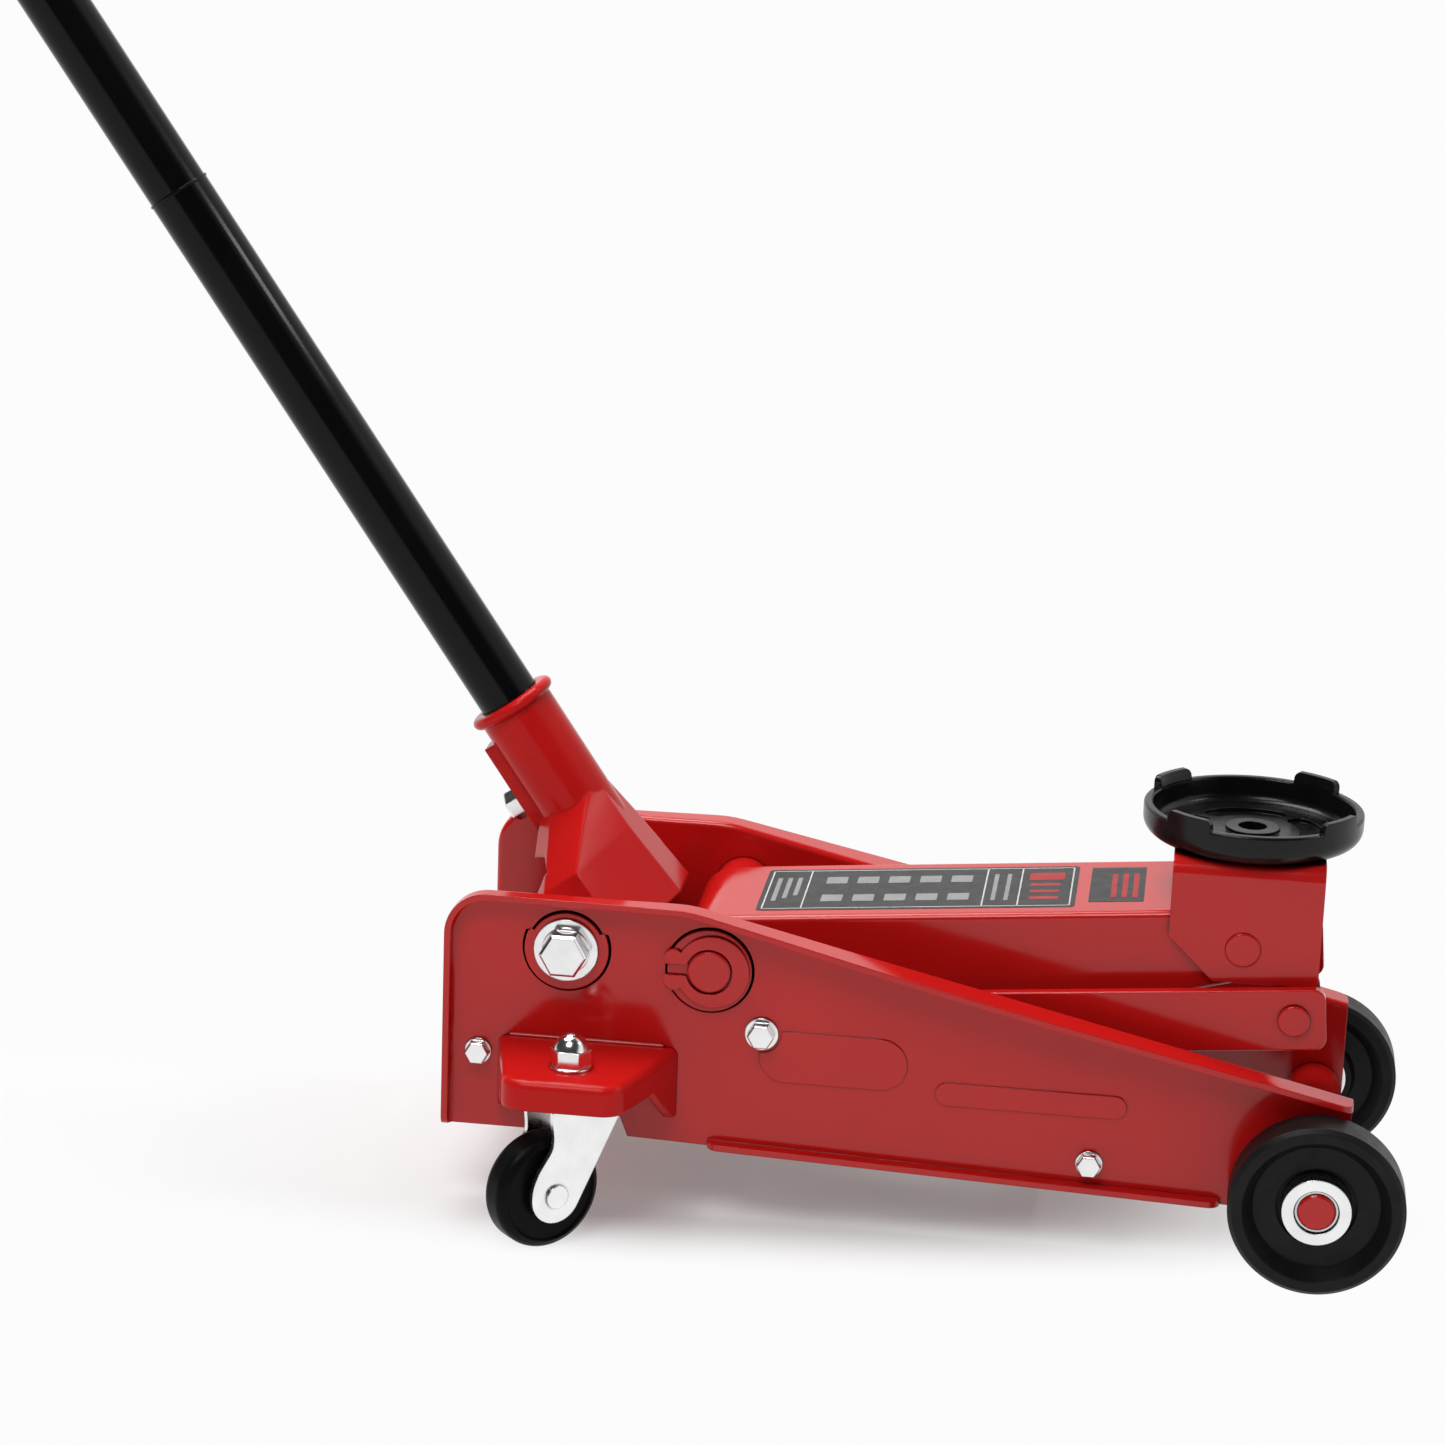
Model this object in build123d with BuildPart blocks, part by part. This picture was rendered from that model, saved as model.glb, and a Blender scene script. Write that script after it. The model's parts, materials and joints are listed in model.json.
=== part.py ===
"""Hydraulic trolley jack with a two-piece handle, in millimetres.

+X points to the saddle, +Y to the left side, +Z up.
The origin is on the floor, under the middle of the jack's box.
Right-hand pieces are drawn and left-hand ones are their mirror images.
"""
import os
from math import acos, asin, atan2, cos, hypot, pi, radians, sin, tan

from build123d import *

os.makedirs("parts", exist_ok=True)

# Clearances
run = 0.1  # radial, pin in a hole that turns on it
play = 0.4  # between faces of pieces that move past each other

# Chassis: two pressed side plates with an outward flange
plate_t = 3.0
plate_top = 152.5
plate_rear_sill = 37.5
plate_nose_sill = 26.0
corner_r = 20.0
kink_r = 60.0
plate_tail = 4.5
flange_rear = 6.5
flange_kink = 9.5
flange_w = 15.8
flange_nose = 12.0
wide_station = 230.0
flange_round = 5.5
lip_w = 6.5
lip_round = 6.0
bend_r = 2.0
kink_station = 109.0
arch_height = 47.5
arch_start = 38.5
arch_end = 82.5
arch_lead = 4.0
nose_round = 10.0
rear_bolt_station, rear_bolt_z = 11.5, 74.3
front_bolt_station, front_bolt_z = 296.5, 42.8
cross_bar_w, cross_bar_h = 16.5, 16.0
lip_start, lip_end = 120.0, 357.0

# Front wheels and their axle, stations measured from the plates' rear edge
wheel_r = 40.0
wheel_w = 21.0
wheel_station = 400.0
wheel_standoff = 10.3
rim_t = 6.5
tread_bevel = 2.0
dish = 8.0
dish_r = 28.5
inner_dish = 5.0
axle_r = 8.6
axle_mid_r = 13.0
nose_reach = 13.5
tread_clear = 2.8
hub_r = 18.3
hub_recess = 4.0
bush_r = 15.6

# Lift arm, links and saddle bracket: a parallelogram
shaft_station = 118.3
shaft_z = 122.0
shaft_r = 10.0
arm_span = 241.1
arm_rise = 22.0
arm_half = 40.0
arm_t = 4.0
arm_top_h = 17.0
arm_low_h = 25.0
nose_r = 17.0
link_dx = 25.1
link_drop = 28.6
link_t = 5.0
link_r = 14.5
link_corner = 5.5
link_gap = 4.7
spacer_w = 8.1
pin_r = 8.0
link_pin_r = 6.0
bracket_t = 4.4
bracket_top = 184.5
bracket_rear = 34.0
bracket_front = 35.0
bracket_drop = 16.0
bracket_bend = 7.0

# Saddle
saddle_r = 50.7
saddle_round = 8.0
saddle_wall = 4.2
saddle_floor_t = 3.2
saddle_depth = 11.3
saddle_boss_r = 12.5
saddle_boss_h = 1.6
pocket_depth = 2.0
pocket_w = 11.0
pocket_r = 27.5
tab_h = 5.0
tab_round = 3.0
tab_arc = 28.0
first_tab = 53.0
post_r = 13.0
post_drop = 17.0
bore_r = 6.6

# Handle: socket on two pivot bolts, and two tubes
pivot_station = 51.8
pivot_z = 127.3
pole_lean = 34.65
pole_offset = 22.3
tube_r = 14.5
tube_t = 2.0
socket_r = 18.0
lip_r = 2.8
lip_s = 104.5
shoulder_s = 50.0
joint_s = 384.6
handle_s = 750.0
upper_r = 14.2
grip_t = 2.6
grip_len = 115.0
pivot_bolt_r = 7.0
cheek_gap = 5.0
cheek_t = 14.0

# Casters
caster_r = 27.0
caster_w = 18.0
kingpin_station = 60.5
kingpin_out = 35.0
trail = 14.0
swivel = 42.0
fork_t = 2.5
bracket_plate = 4.0
caster_top = 83.0
caster_reach = 59.0
skirt = 14.0
gusset_low = 50.0
kingpin_r = 5.0

# Power unit
crank_r = 36.0
crank_lag = 25.0
roller_r = 8.0
ram_r = 11.8
unit_r = 23.0
pump_lever = 18.0
pump_rise = 5.0
pump_roller_r = 6.0
plunger_r = 6.0
spring_wire = 1.8

# Positions that follow from those sizes
bracket_half = arm_half + play + bracket_t
link_y = bracket_half + link_gap
plate_in = link_y + link_t + play + spacer_w
plate_gap = 2 * plate_in
plate_out = plate_in + plate_t
wheel_in = plate_out + wheel_standoff
wheel_out = wheel_in + wheel_w
lean = radians(pole_lean)
foot_station = pivot_station + pole_offset * cos(lean)
foot_z = pivot_z + pole_offset * sin(lean)
grip_r = upper_r + grip_t
back_station = foot_station - handle_s * sin(lean) - grip_r * cos(lean)
rear_x = -(wheel_station + wheel_r + back_station) / 2
tail_x = rear_x - plate_tail
axle_x = rear_x + wheel_station
axle_z = wheel_r
nose_x = axle_x + nose_reach
kink_x = rear_x + kink_station
pivot_x = rear_x + pivot_station
shaft_x = rear_x + shaft_station
link_x = shaft_x + link_dx
link_z = shaft_z - link_drop
tip_x = shaft_x + arm_span
tip_z = shaft_z + arm_rise
link_tip_x = tip_x + link_dx
link_tip_z = tip_z - link_drop
kingpin_x = rear_x + kingpin_station
kingpin_y = plate_out + kingpin_out
arm_angle = atan2(arm_rise, arm_span)
pole = Plane(
    origin=(rear_x + foot_station, 0, foot_z),
    x_dir=(cos(lean), 0, sin(lean)),
    z_dir=(-sin(lean), 0, cos(lean)),
)
crank_x = shaft_x - crank_r * sin(radians(crank_lag))
crank_z = shaft_z - crank_r * cos(radians(crank_lag))
ram_z = shaft_z - crank_r * (1 + cos(radians(crank_lag))) / 2

# The sloping top edge clears the wheel tread by tread_clear, measured square to it
to_axle = hypot(axle_x - kink_x, plate_top - axle_z)
slope = atan2(plate_top - axle_z, axle_x - kink_x) - asin((wheel_r + tread_clear + plate_t) / to_axle)
nose_z = plate_top - (nose_x - kink_x) * tan(slope)


def side(y):
    """Sketch plane at Y = y that faces the right side: sketch x is X, sketch y is Z."""
    return Plane.XZ.offset(-y)


def save(piece, name):
    """Label a finished piece and write it."""
    piece.label = name
    export_step(piece, f"parts/{name}.step")


def save_pair(piece, name):
    """Write a right-hand piece and its left-hand mirror image."""
    save(piece, f"{name}_right")
    save(mirror(piece, about=Plane.XZ), f"{name}_left")


def both_sides(piece):
    """One group of a right-hand solid and its mirror image."""
    with BuildPart() as pair:
        add(piece)
        add(mirror(piece, about=Plane.XZ))
    return pair.part


def disc(x, z, y_from, y_to, radius, hole=0.0):
    """Round piece along Y between two Y values, with an optional hole."""
    with BuildPart() as ring:
        with BuildSketch(side(y_to)):
            with Locations((x, z)):
                Circle(radius)
                if hole:
                    Circle(hole, mode=Mode.SUBTRACT)
        extrude(amount=y_to - y_from)
    return ring.part


def hex_bolt(x, z, seat, size, shank_r, reach):
    """Hex bolt with its washer on the right side, shank running inwards from the seat."""
    across, head, washer_r, washer_t = size
    with BuildPart() as bolt:
        with BuildSketch(side(-seat)):
            with Locations((x, z)):
                Circle(washer_r)
        extrude(amount=washer_t)
        with BuildSketch(side(-seat - washer_t)):
            with Locations((x, z)):
                RegularPolygon(across / 2, 6, major_radius=False)
        extrude(amount=head)
        chamfer(faces().sort_by(Axis.Y)[0].edges(), 0.06 * across)
        with BuildSketch(side(-seat)):
            with Locations((x, z)):
                Circle(shank_r)
        extrude(amount=-reach)
    return bolt.part


# Side plates
rear_bolt_x = rear_x + rear_bolt_station
front_bolt_x = rear_x + front_bolt_station
frame_bolt_r = 3.0
link_bolt_r = 4.0
frame_bolt_size = (10.0, 4.5, 6.2, 1.2)
frame_bolt_reach = 20.0
link_bolt_size = (11.0, 5.0, 7.7, 1.5)
boss_r = 19.5
boss_top_r = 17.2
boss_ear = 8.0
boss_t = 1.5
rib_t = 0.8
rear_rib = (142.5, 211.0, 70.4, 95.0)
front_rib = (224.4, 312.0, 65.4, 76.4)
rib_gap = 1.5
sill_slope = (plate_rear_sill - plate_nose_sill) / (nose_x - rear_x - arch_end)
lip_from, lip_to = rear_x + lip_start, rear_x + lip_end


def sill_at(x):
    """Height of the plate's lower edge ahead of the wheel arch."""
    return plate_rear_sill - sill_slope * (x - rear_x - arch_end)


below = 40.0
flange_edge = (
    (tail_x - below, -plate_out - flange_rear),
    (tail_x, -plate_out - flange_rear),
    (kink_x, -plate_out - flange_kink),
    (rear_x + wide_station, -plate_out - flange_w),
    (nose_x, -plate_out - flange_nose),
    (nose_x + below, -plate_out - flange_nose),
)
with BuildPart() as flange_pocket:
    with BuildSketch(side(-plate_out)):
        with BuildLine():
            Polyline(
                (tail_x + plate_t, plate_nose_sill - below),
                (nose_x + below, plate_nose_sill - below),
                (nose_x + below, nose_z - plate_t / cos(slope) - below * tan(slope)),
                (kink_x - plate_t * tan(slope / 2), plate_top - plate_t),
                (tail_x + plate_t, plate_top - plate_t),
                close=True,
            )
        make_face()
        fillet(vertices().group_by(Axis.Y)[-1].sort_by(Axis.X)[0], corner_r - plate_t)
        fillet(vertices().group_by(Axis.Y)[-1].sort_by(Axis.X)[-1], kink_r - plate_t)
    extrude(amount=flange_w + below)
    fillet(faces().sort_by(Axis.Y)[-1].edges(), bend_r)
with BuildPart() as side_plate:
    with BuildSketch(side(-plate_in)):
        with BuildLine():
            Polyline(
                (tail_x, plate_rear_sill),
                (rear_x + arch_start, plate_rear_sill),
                (rear_x + arch_start + arch_lead, arch_height),
                (rear_x + arch_end - arch_lead, arch_height),
                (rear_x + arch_end, plate_rear_sill),
                (nose_x, plate_nose_sill),
                (nose_x, nose_z),
                (kink_x, plate_top),
                (tail_x, plate_top),
                close=True,
            )
        make_face()
        fillet(vertices().group_by(Axis.Y)[-1].sort_by(Axis.X)[0], corner_r)
        fillet(vertices().group_by(Axis.Y)[-1].sort_by(Axis.X)[-1], kink_r)
        fillet(vertices().group_by(Axis.Y)[0], nose_round)
    extrude(amount=plate_t + flange_w)
    inner = edges().filter_by_position(Axis.Y, -plate_in - 0.01, -plate_in + 0.01)
    high = inner.filter_by(lambda e: e.center().Z > nose_z - 30 and e.center().X < nose_x - 1)
    fillet(high, bend_r + 0.8)
    add(flange_pocket.part, mode=Mode.SUBTRACT)
    with BuildSketch():
        with BuildLine():
            Spline(*flange_edge)
            Polyline(
                flange_edge[-1],
                (nose_x + below, -plate_out - 2 * flange_w),
                (tail_x - below, -plate_out - 2 * flange_w),
                flange_edge[0],
            )
        make_face()
    extrude(amount=2 * plate_top, mode=Mode.SUBTRACT)
    rim = edges().filter_by(lambda e: e.center().Y < -plate_out - flange_rear + 1)
    fillet(rim.filter_by(lambda e: e.length < plate_t + 1), flange_round)
    with BuildSketch(side(-plate_out)):
        with BuildLine():
            Line(
                (lip_from, sill_at(lip_from) + plate_t / 2),
                (lip_to, sill_at(lip_to) + plate_t / 2),
            )
        trace(line_width=plate_t)
    extrude(amount=lip_w)
    outer = edges().filter_by_position(Axis.Y, -plate_out - lip_w - 0.01, -plate_out - lip_w + 0.01)
    fillet(outer.sort_by(SortBy.LENGTH)[:2], lip_round)
    with BuildSketch(side(-plate_out)):
        with Locations((pivot_x, pivot_z)):
            Circle(boss_r)
            with Locations((0, boss_ear)):
                Rectangle(3 * boss_r, boss_r, align=(Align.CENTER, Align.MIN), mode=Mode.SUBTRACT)
            Circle(boss_top_r)
        with Locations((shaft_x, shaft_z)):
            Circle(boss_r)
    extrude(amount=boss_t)
    with BuildSketch(side(-plate_out)):
        for start, end, low, high in (rear_rib, front_rib):
            with Locations((rear_x + (start + end) / 2, (low + high) / 2)):
                SlotOverall(end - start, high - low)
        with Locations((link_x, link_z)):
            Circle(link_bolt_size[2] + rib_gap, mode=Mode.SUBTRACT)
    extrude(amount=rib_t)
    with BuildSketch(side(-plate_in)):
        with Locations((pivot_x, pivot_z)):
            Circle(pivot_bolt_r)
        with Locations((shaft_x, shaft_z)):
            Circle(shaft_r)
        with Locations((axle_x, axle_z)):
            Circle(axle_r)
        with Locations((link_x, link_z)):
            Circle(link_bolt_r)
        with Locations((rear_bolt_x, rear_bolt_z), (front_bolt_x, front_bolt_z)):
            Circle(frame_bolt_r)
    extrude(amount=plate_t + boss_t, mode=Mode.SUBTRACT)
save_pair(side_plate.part, "side_plate")

# Rings, bolts and cross members of the chassis
bar_r = 8.0
with BuildPart() as front_bar:
    with BuildSketch(side(plate_in)):
        with Locations((front_bolt_x, front_bolt_z)):
            Circle(bar_r)
            Circle(frame_bolt_r, mode=Mode.SUBTRACT)
    extrude(amount=plate_gap)
save(front_bar.part, "front_spacer_bar")

block_rear = rear_x + cross_bar_w
with BuildPart() as rear_bar:
    with BuildSketch(side(plate_in)):
        with Locations(((rear_x + block_rear) / 2, rear_bolt_z)):
            Rectangle(cross_bar_w, cross_bar_h)
            fillet(vertices(), bend_r)
        with Locations((rear_bolt_x, rear_bolt_z)):
            Circle(frame_bolt_r, mode=Mode.SUBTRACT)
    extrude(amount=plate_gap)
save(rear_bar.part, "rear_cross_bar")

base_t = 4.0
base_len = 96.0
base_inset = 10.0
with BuildPart() as base_plate:
    with BuildSketch(Plane.XY.offset(arch_height)):
        with Locations((rear_x + base_inset, 0)):
            Rectangle(base_len, plate_gap, align=(Align.MIN, Align.CENTER))
    extrude(amount=base_t)
save(base_plate.part, "base_plate")

frame_bolts = []
for x, z in ((rear_bolt_x, rear_bolt_z), (front_bolt_x, front_bolt_z)):
    frame_bolts.append(hex_bolt(x, z, plate_out, frame_bolt_size, frame_bolt_r, frame_bolt_reach))
with BuildPart() as frame_bolt_group:
    for bolt in frame_bolts:
        add(bolt)
        add(mirror(bolt, about=Plane.XZ))
save(frame_bolt_group.part, "frame_bolts")

link_in = link_y
link_out = link_y + link_t
nut_t = 5.0
nut_r = 7.5
link_bolt_reach = plate_out - link_in + play + nut_t
link_bolt = hex_bolt(link_x, link_z, plate_out, link_bolt_size, link_bolt_r, link_bolt_reach)
save(both_sides(link_bolt), "link_pivot_bolts")
link_nut = disc(link_x, link_z, -link_in + play, -link_in + play + nut_t, nut_r, link_bolt_r)
save(both_sides(link_nut), "link_pivot_nuts")
link_spacer = disc(link_x, link_z, -plate_in, -link_out - play, nut_r, link_bolt_r)
save(both_sides(link_spacer), "link_spacers")

pivot_seat = plate_out + boss_t
pivot_washer_t = 2.0
pivot_washer_r = 14.8
pivot_bolt_size = (19.5, 8.5, 11.0, 0.8)
pivot_bolt_reach = 24.0
pivot_bolt = hex_bolt(
    pivot_x, pivot_z, pivot_seat + pivot_washer_t, pivot_bolt_size, pivot_bolt_r, pivot_bolt_reach
)
pivot_washer = disc(
    pivot_x, pivot_z, -pivot_seat - pivot_washer_t, -pivot_seat, pivot_washer_r, pivot_bolt_r
)
save(Compound(children=[both_sides(pivot_bolt), both_sides(pivot_washer)]), "handle_pivot_bolts")

# Lift shaft with a snap ring on each end
ring_t = 1.8
ring_r = 17.0
ring_off = 1.5
lug_r = 4.6
lug_out = 16.5
lug_gap = 5.2
ring_fit = 0.8
shaft_end = plate_out + boss_t + ring_t + play
collar_wall = 4.0
with BuildPart() as lift_shaft:
    with BuildSketch(side(shaft_end)):
        with Locations((shaft_x, shaft_z)):
            Circle(shaft_r)
    extrude(amount=2 * shaft_end)
    chamfer(edges().filter_by(GeomType.CIRCLE), ring_fit)
save(lift_shaft.part, "lift_shaft")
with BuildPart() as snap_ring:
    with BuildSketch(side(-plate_out - boss_t)):
        with Locations((shaft_x, shaft_z)):
            with Locations((ring_off, 0)):
                Circle(ring_r)
            with Locations((-lug_out, lug_gap), (-lug_out, -lug_gap)):
                Circle(lug_r)
            Circle(shaft_r + ring_fit, mode=Mode.SUBTRACT)
            with Locations((-lug_out, 0)):
                Rectangle(2 * lug_out, lug_gap, mode=Mode.SUBTRACT)
    extrude(amount=ring_t)
save(both_sides(snap_ring.part), "shaft_snap_rings")
shaft_collar = disc(shaft_x, shaft_z, -plate_in, -arm_half - play, shaft_r + collar_wall, shaft_r)
save(both_sides(shaft_collar), "shaft_collars")

# Front axle, spacers, wheels and their bushes
axle_end = wheel_out - 0.5
axle_bevel = 1.0
clip_t = 1.4
clip_w = 1.3
bush_back = 0.8
with BuildPart() as front_axle:
    with BuildSketch(side(axle_end)):
        with Locations((axle_x, axle_z)):
            Circle(axle_r)
    extrude(amount=2 * axle_end)
    chamfer(edges().filter_by(GeomType.CIRCLE), axle_bevel)
    with BuildSketch(side(plate_in)):
        with Locations((axle_x, axle_z)):
            Circle(axle_mid_r)
    extrude(amount=plate_gap)
save(front_axle.part, "front_axle")
axle_spacer = disc(axle_x, axle_z, -wheel_in + play, -plate_out, axle_r + collar_wall, axle_r)
save(both_sides(axle_spacer), "axle_spacers")
clip_out = wheel_out - 2.0
axle_clip = disc(axle_x, axle_z, -clip_out, -clip_out + clip_t, axle_r + clip_w, axle_r)
save(both_sides(axle_clip), "axle_clips")

bore_run = axle_r + run
with BuildPart() as front_wheel:
    with BuildSketch(Plane((axle_x, 0, axle_z))):
        with BuildLine():
            Polyline(
                (bush_r, -wheel_in),
                (hub_r, -wheel_in),
                (hub_r + tread_bevel, -wheel_in - inner_dish),
                (dish_r, -wheel_in - inner_dish),
                (wheel_r - rim_t, -wheel_in),
                (wheel_r - tread_bevel, -wheel_in),
                (wheel_r, -wheel_in - tread_bevel),
                (wheel_r, -wheel_out + tread_bevel),
                (wheel_r - tread_bevel, -wheel_out),
                (wheel_r - rim_t, -wheel_out),
                (dish_r, -wheel_out + dish),
                (hub_r, -wheel_out + dish),
                (hub_r, -wheel_out + dish + hub_recess),
                (bush_r, -wheel_out + dish + hub_recess),
                close=True,
            )
        make_face()
    revolve(axis=Axis((axle_x, 0, axle_z), (0, 1, 0)))
save_pair(front_wheel.part, "front_wheel")
with BuildPart() as wheel_bush:
    with BuildSketch(side(-wheel_in)):
        with Locations((axle_x, axle_z)):
            Circle(bush_r)
            Circle(bore_run, mode=Mode.SUBTRACT)
    extrude(amount=wheel_w - bush_back)
    with BuildSketch(side(-clip_out + clip_t + play)):
        with Locations((axle_x, axle_z)):
            Circle(axle_r + clip_w + play)
    extrude(amount=wheel_w, mode=Mode.SUBTRACT)
save_pair(wheel_bush.part, "wheel_bush")

# Lift arm: a pressed channel that wraps over the shaft and carries the crank pin
arm_hub_r = 14.5
crank_lug = 12.0
crank_pin_r = 6.0
anchor_r = 4.0
belly_from = 60.0
belly_to = 45.0
belly_r = 4.0
arm_edge = 3.0
anchor_t, anchor_h = 75.0, -12.0
beyond = 120.0
along = (cos(arm_angle), sin(arm_angle))
across = (-sin(arm_angle), cos(arm_angle))


def on_arm(t, h):
    """Point on the arm's side, t along its pin line from the shaft and h square to it."""
    return (shaft_x + t * along[0] + h * across[0], shaft_z + t * along[1] + h * across[1])


def on_link(t, h):
    """Point near a link's front pin, t along the link and h square to it."""
    return (link_tip_x + t * along[0] + h * across[0], link_tip_z + t * along[1] + h * across[1])


def above_arm(point):
    """Height of a point over the arm's pin line."""
    return (point.X - shaft_x) * across[0] + (point.Z - shaft_z) * across[1]


arm_length = hypot(arm_span, arm_rise)
belly_h = belly_r - arm_low_h
with BuildPart() as lift_arm:
    with BuildSketch(side(arm_half)):
        with Locations(on_arm(0, 0)):
            Circle(arm_top_h)
        with Locations(on_arm(arm_length, 0)):
            Circle(nose_r)
        with Locations(on_arm(belly_from, 0), on_arm(arm_length - belly_to, 0)):
            Circle(arm_top_h)
        with Locations(on_arm(belly_from, belly_h), on_arm(arm_length - belly_to, belly_h)):
            Circle(belly_r)
        make_hull()
    extrude(amount=2 * arm_half)
    with BuildSketch(side(arm_half)):
        with Locations(on_arm(0, 0)):
            Circle(arm_top_h)
        with Locations((crank_x, crank_z)):
            Circle(crank_lug)
        with Locations(on_arm(belly_from, belly_h)):
            Circle(belly_r)
        make_hull()
    extrude(amount=2 * arm_half)
    rims = edges().filter_by(lambda e: abs(abs(e.center().Y) - arm_half) < 0.01)
    fillet(rims.filter_by(lambda e: above_arm(e.center()) > arm_top_h / 2), arm_edge)
    with BuildSketch(side(arm_half - arm_t)):
        with Locations(on_arm(0, 0)):
            Circle(arm_top_h - arm_t)
        with Locations(on_arm(arm_length + beyond, 0)):
            Circle(arm_top_h - arm_t)
        with Locations(on_arm(-beyond, -beyond / 3), on_arm(arm_length + beyond, -beyond)):
            Circle(arm_t)
        with Locations(on_arm(-beyond, -beyond)):
            Circle(arm_t)
        make_hull()
    extrude(amount=2 * (arm_half - arm_t), mode=Mode.SUBTRACT)
    with BuildSketch(side(arm_half - arm_t)):
        with Locations((shaft_x, shaft_z)):
            Circle(arm_hub_r)
    extrude(amount=2 * (arm_half - arm_t))
    with BuildSketch(side(arm_half)):
        with Locations((shaft_x, shaft_z)):
            Circle(shaft_r + run)
        with Locations((crank_x, crank_z)):
            Circle(crank_pin_r)
        with Locations((tip_x, tip_z)):
            Circle(pin_r + run)
        with Locations(on_arm(anchor_t, anchor_h)):
            Circle(anchor_r)
    extrude(amount=2 * arm_half, mode=Mode.SUBTRACT)
save(lift_arm.part, "lift_arm")

roller_half = 12.0
save(disc(crank_x, crank_z, -roller_half, roller_half, roller_r, crank_pin_r + run), "crank_roller")
anchor_x, anchor_z = on_arm(anchor_t, anchor_h)
crank_pin = disc(crank_x, crank_z, -arm_half, arm_half, crank_pin_r)
anchor_pin = disc(anchor_x, anchor_z, -arm_half, arm_half, anchor_r)
save(Compound(children=[crank_pin, anchor_pin]), "arm_cross_pins")

# Links
link_end = link_r - link_corner
with BuildPart() as link:
    with BuildSketch(side(-link_in)):
        with Locations((link_x, link_z)):
            Circle(link_r)
        with Locations(on_link(link_end, link_end), on_link(link_end, -link_end)):
            Circle(link_corner)
        make_hull()
        with Locations((link_x, link_z)):
            Circle(link_bolt_r + run, mode=Mode.SUBTRACT)
        with Locations((link_tip_x, link_tip_z)):
            Circle(link_pin_r + play, mode=Mode.SUBTRACT)
    extrude(amount=link_t)
    fillet(edges().filter_by_position(Axis.Y, -link_out - 0.01, -link_out + 0.01), 0.8)
save_pair(link.part, "link")

# Saddle bracket with an ear for each link, and its pins
ear_r = 11.0
ear_step = 1.2
low_z = tip_z - bracket_drop
saddle_x = tip_x + 1
notch_h = 4.0
notch_x = 13.0
bracket_corner = 3.0
ear_out = bracket_half - ear_step
with BuildPart() as saddle_bracket:
    with BuildSketch(side(bracket_half)):
        with BuildLine():
            Polyline(
                (tip_x - bracket_rear, bracket_top),
                (tip_x - bracket_rear, tip_z + notch_h),
                (tip_x - notch_x, low_z),
                (tip_x + bracket_front, low_z),
                (tip_x + bracket_front, bracket_top),
                close=True,
            )
        make_face()
        fillet(vertices().sort_by(Axis.Y)[:2], bracket_corner)
    extrude(amount=2 * bracket_half)
    fillet(edges().filter_by(Axis.X).group_by(Axis.Z)[-1], bracket_bend)
    with BuildSketch(side(ear_out)):
        with Locations((link_tip_x, link_tip_z), (link_tip_x, low_z)):
            Circle(ear_r)
        make_hull()
    extrude(amount=2 * ear_out)
    with BuildSketch(side(bracket_half - bracket_t)):
        with Locations((tip_x, bracket_top - bracket_t)):
            Rectangle(4 * bracket_front, 2 * bracket_top, align=(Align.CENTER, Align.MAX))
    extrude(amount=2 * (bracket_half - bracket_t), mode=Mode.SUBTRACT)
    with BuildSketch(side(bracket_half)):
        with Locations((tip_x, tip_z)):
            Circle(pin_r)
        with Locations((link_tip_x, link_tip_z)):
            Circle(link_pin_r)
    extrude(amount=2 * bracket_half, mode=Mode.SUBTRACT)
    with BuildSketch(Plane.XY.offset(bracket_top)):
        with Locations((saddle_x, 0)):
            Circle(post_r + play)
    extrude(amount=-2 * bracket_t, mode=Mode.SUBTRACT)
save(saddle_bracket.part, "saddle_bracket")

pin_proud = 1.0
pin_edge = 0.8
rivet_t = 2.0
collar_w = 2.5
head_w = 1.3
with BuildPart() as saddle_pin:
    with BuildSketch(side(bracket_half + pin_proud)):
        with Locations((tip_x, tip_z)):
            Circle(pin_r)
    extrude(amount=2 * (bracket_half + pin_proud))
    fillet(edges().filter_by(GeomType.CIRCLE), pin_edge)
save(saddle_pin.part, "saddle_pivot_pin")
with BuildPart() as link_pin:
    with BuildSketch(side(-bracket_half + bracket_t)):
        with Locations((link_tip_x, link_tip_z)):
            Circle(link_pin_r)
    extrude(amount=link_out + play - bracket_half + bracket_t)
    with BuildSketch(side(-ear_out)):
        with Locations((link_tip_x, link_tip_z)):
            Circle(link_pin_r + collar_w)
    extrude(amount=link_in - play - ear_out)
    with BuildSketch(side(-link_out - play)):
        with Locations((link_tip_x, link_tip_z)):
            Circle(link_pin_r + head_w)
    extrude(amount=rivet_t)
    fillet(edges().filter_by(GeomType.CIRCLE).sort_by(Axis.Y)[0], pin_edge)
save(both_sides(link_pin.part), "link_pins")

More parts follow.
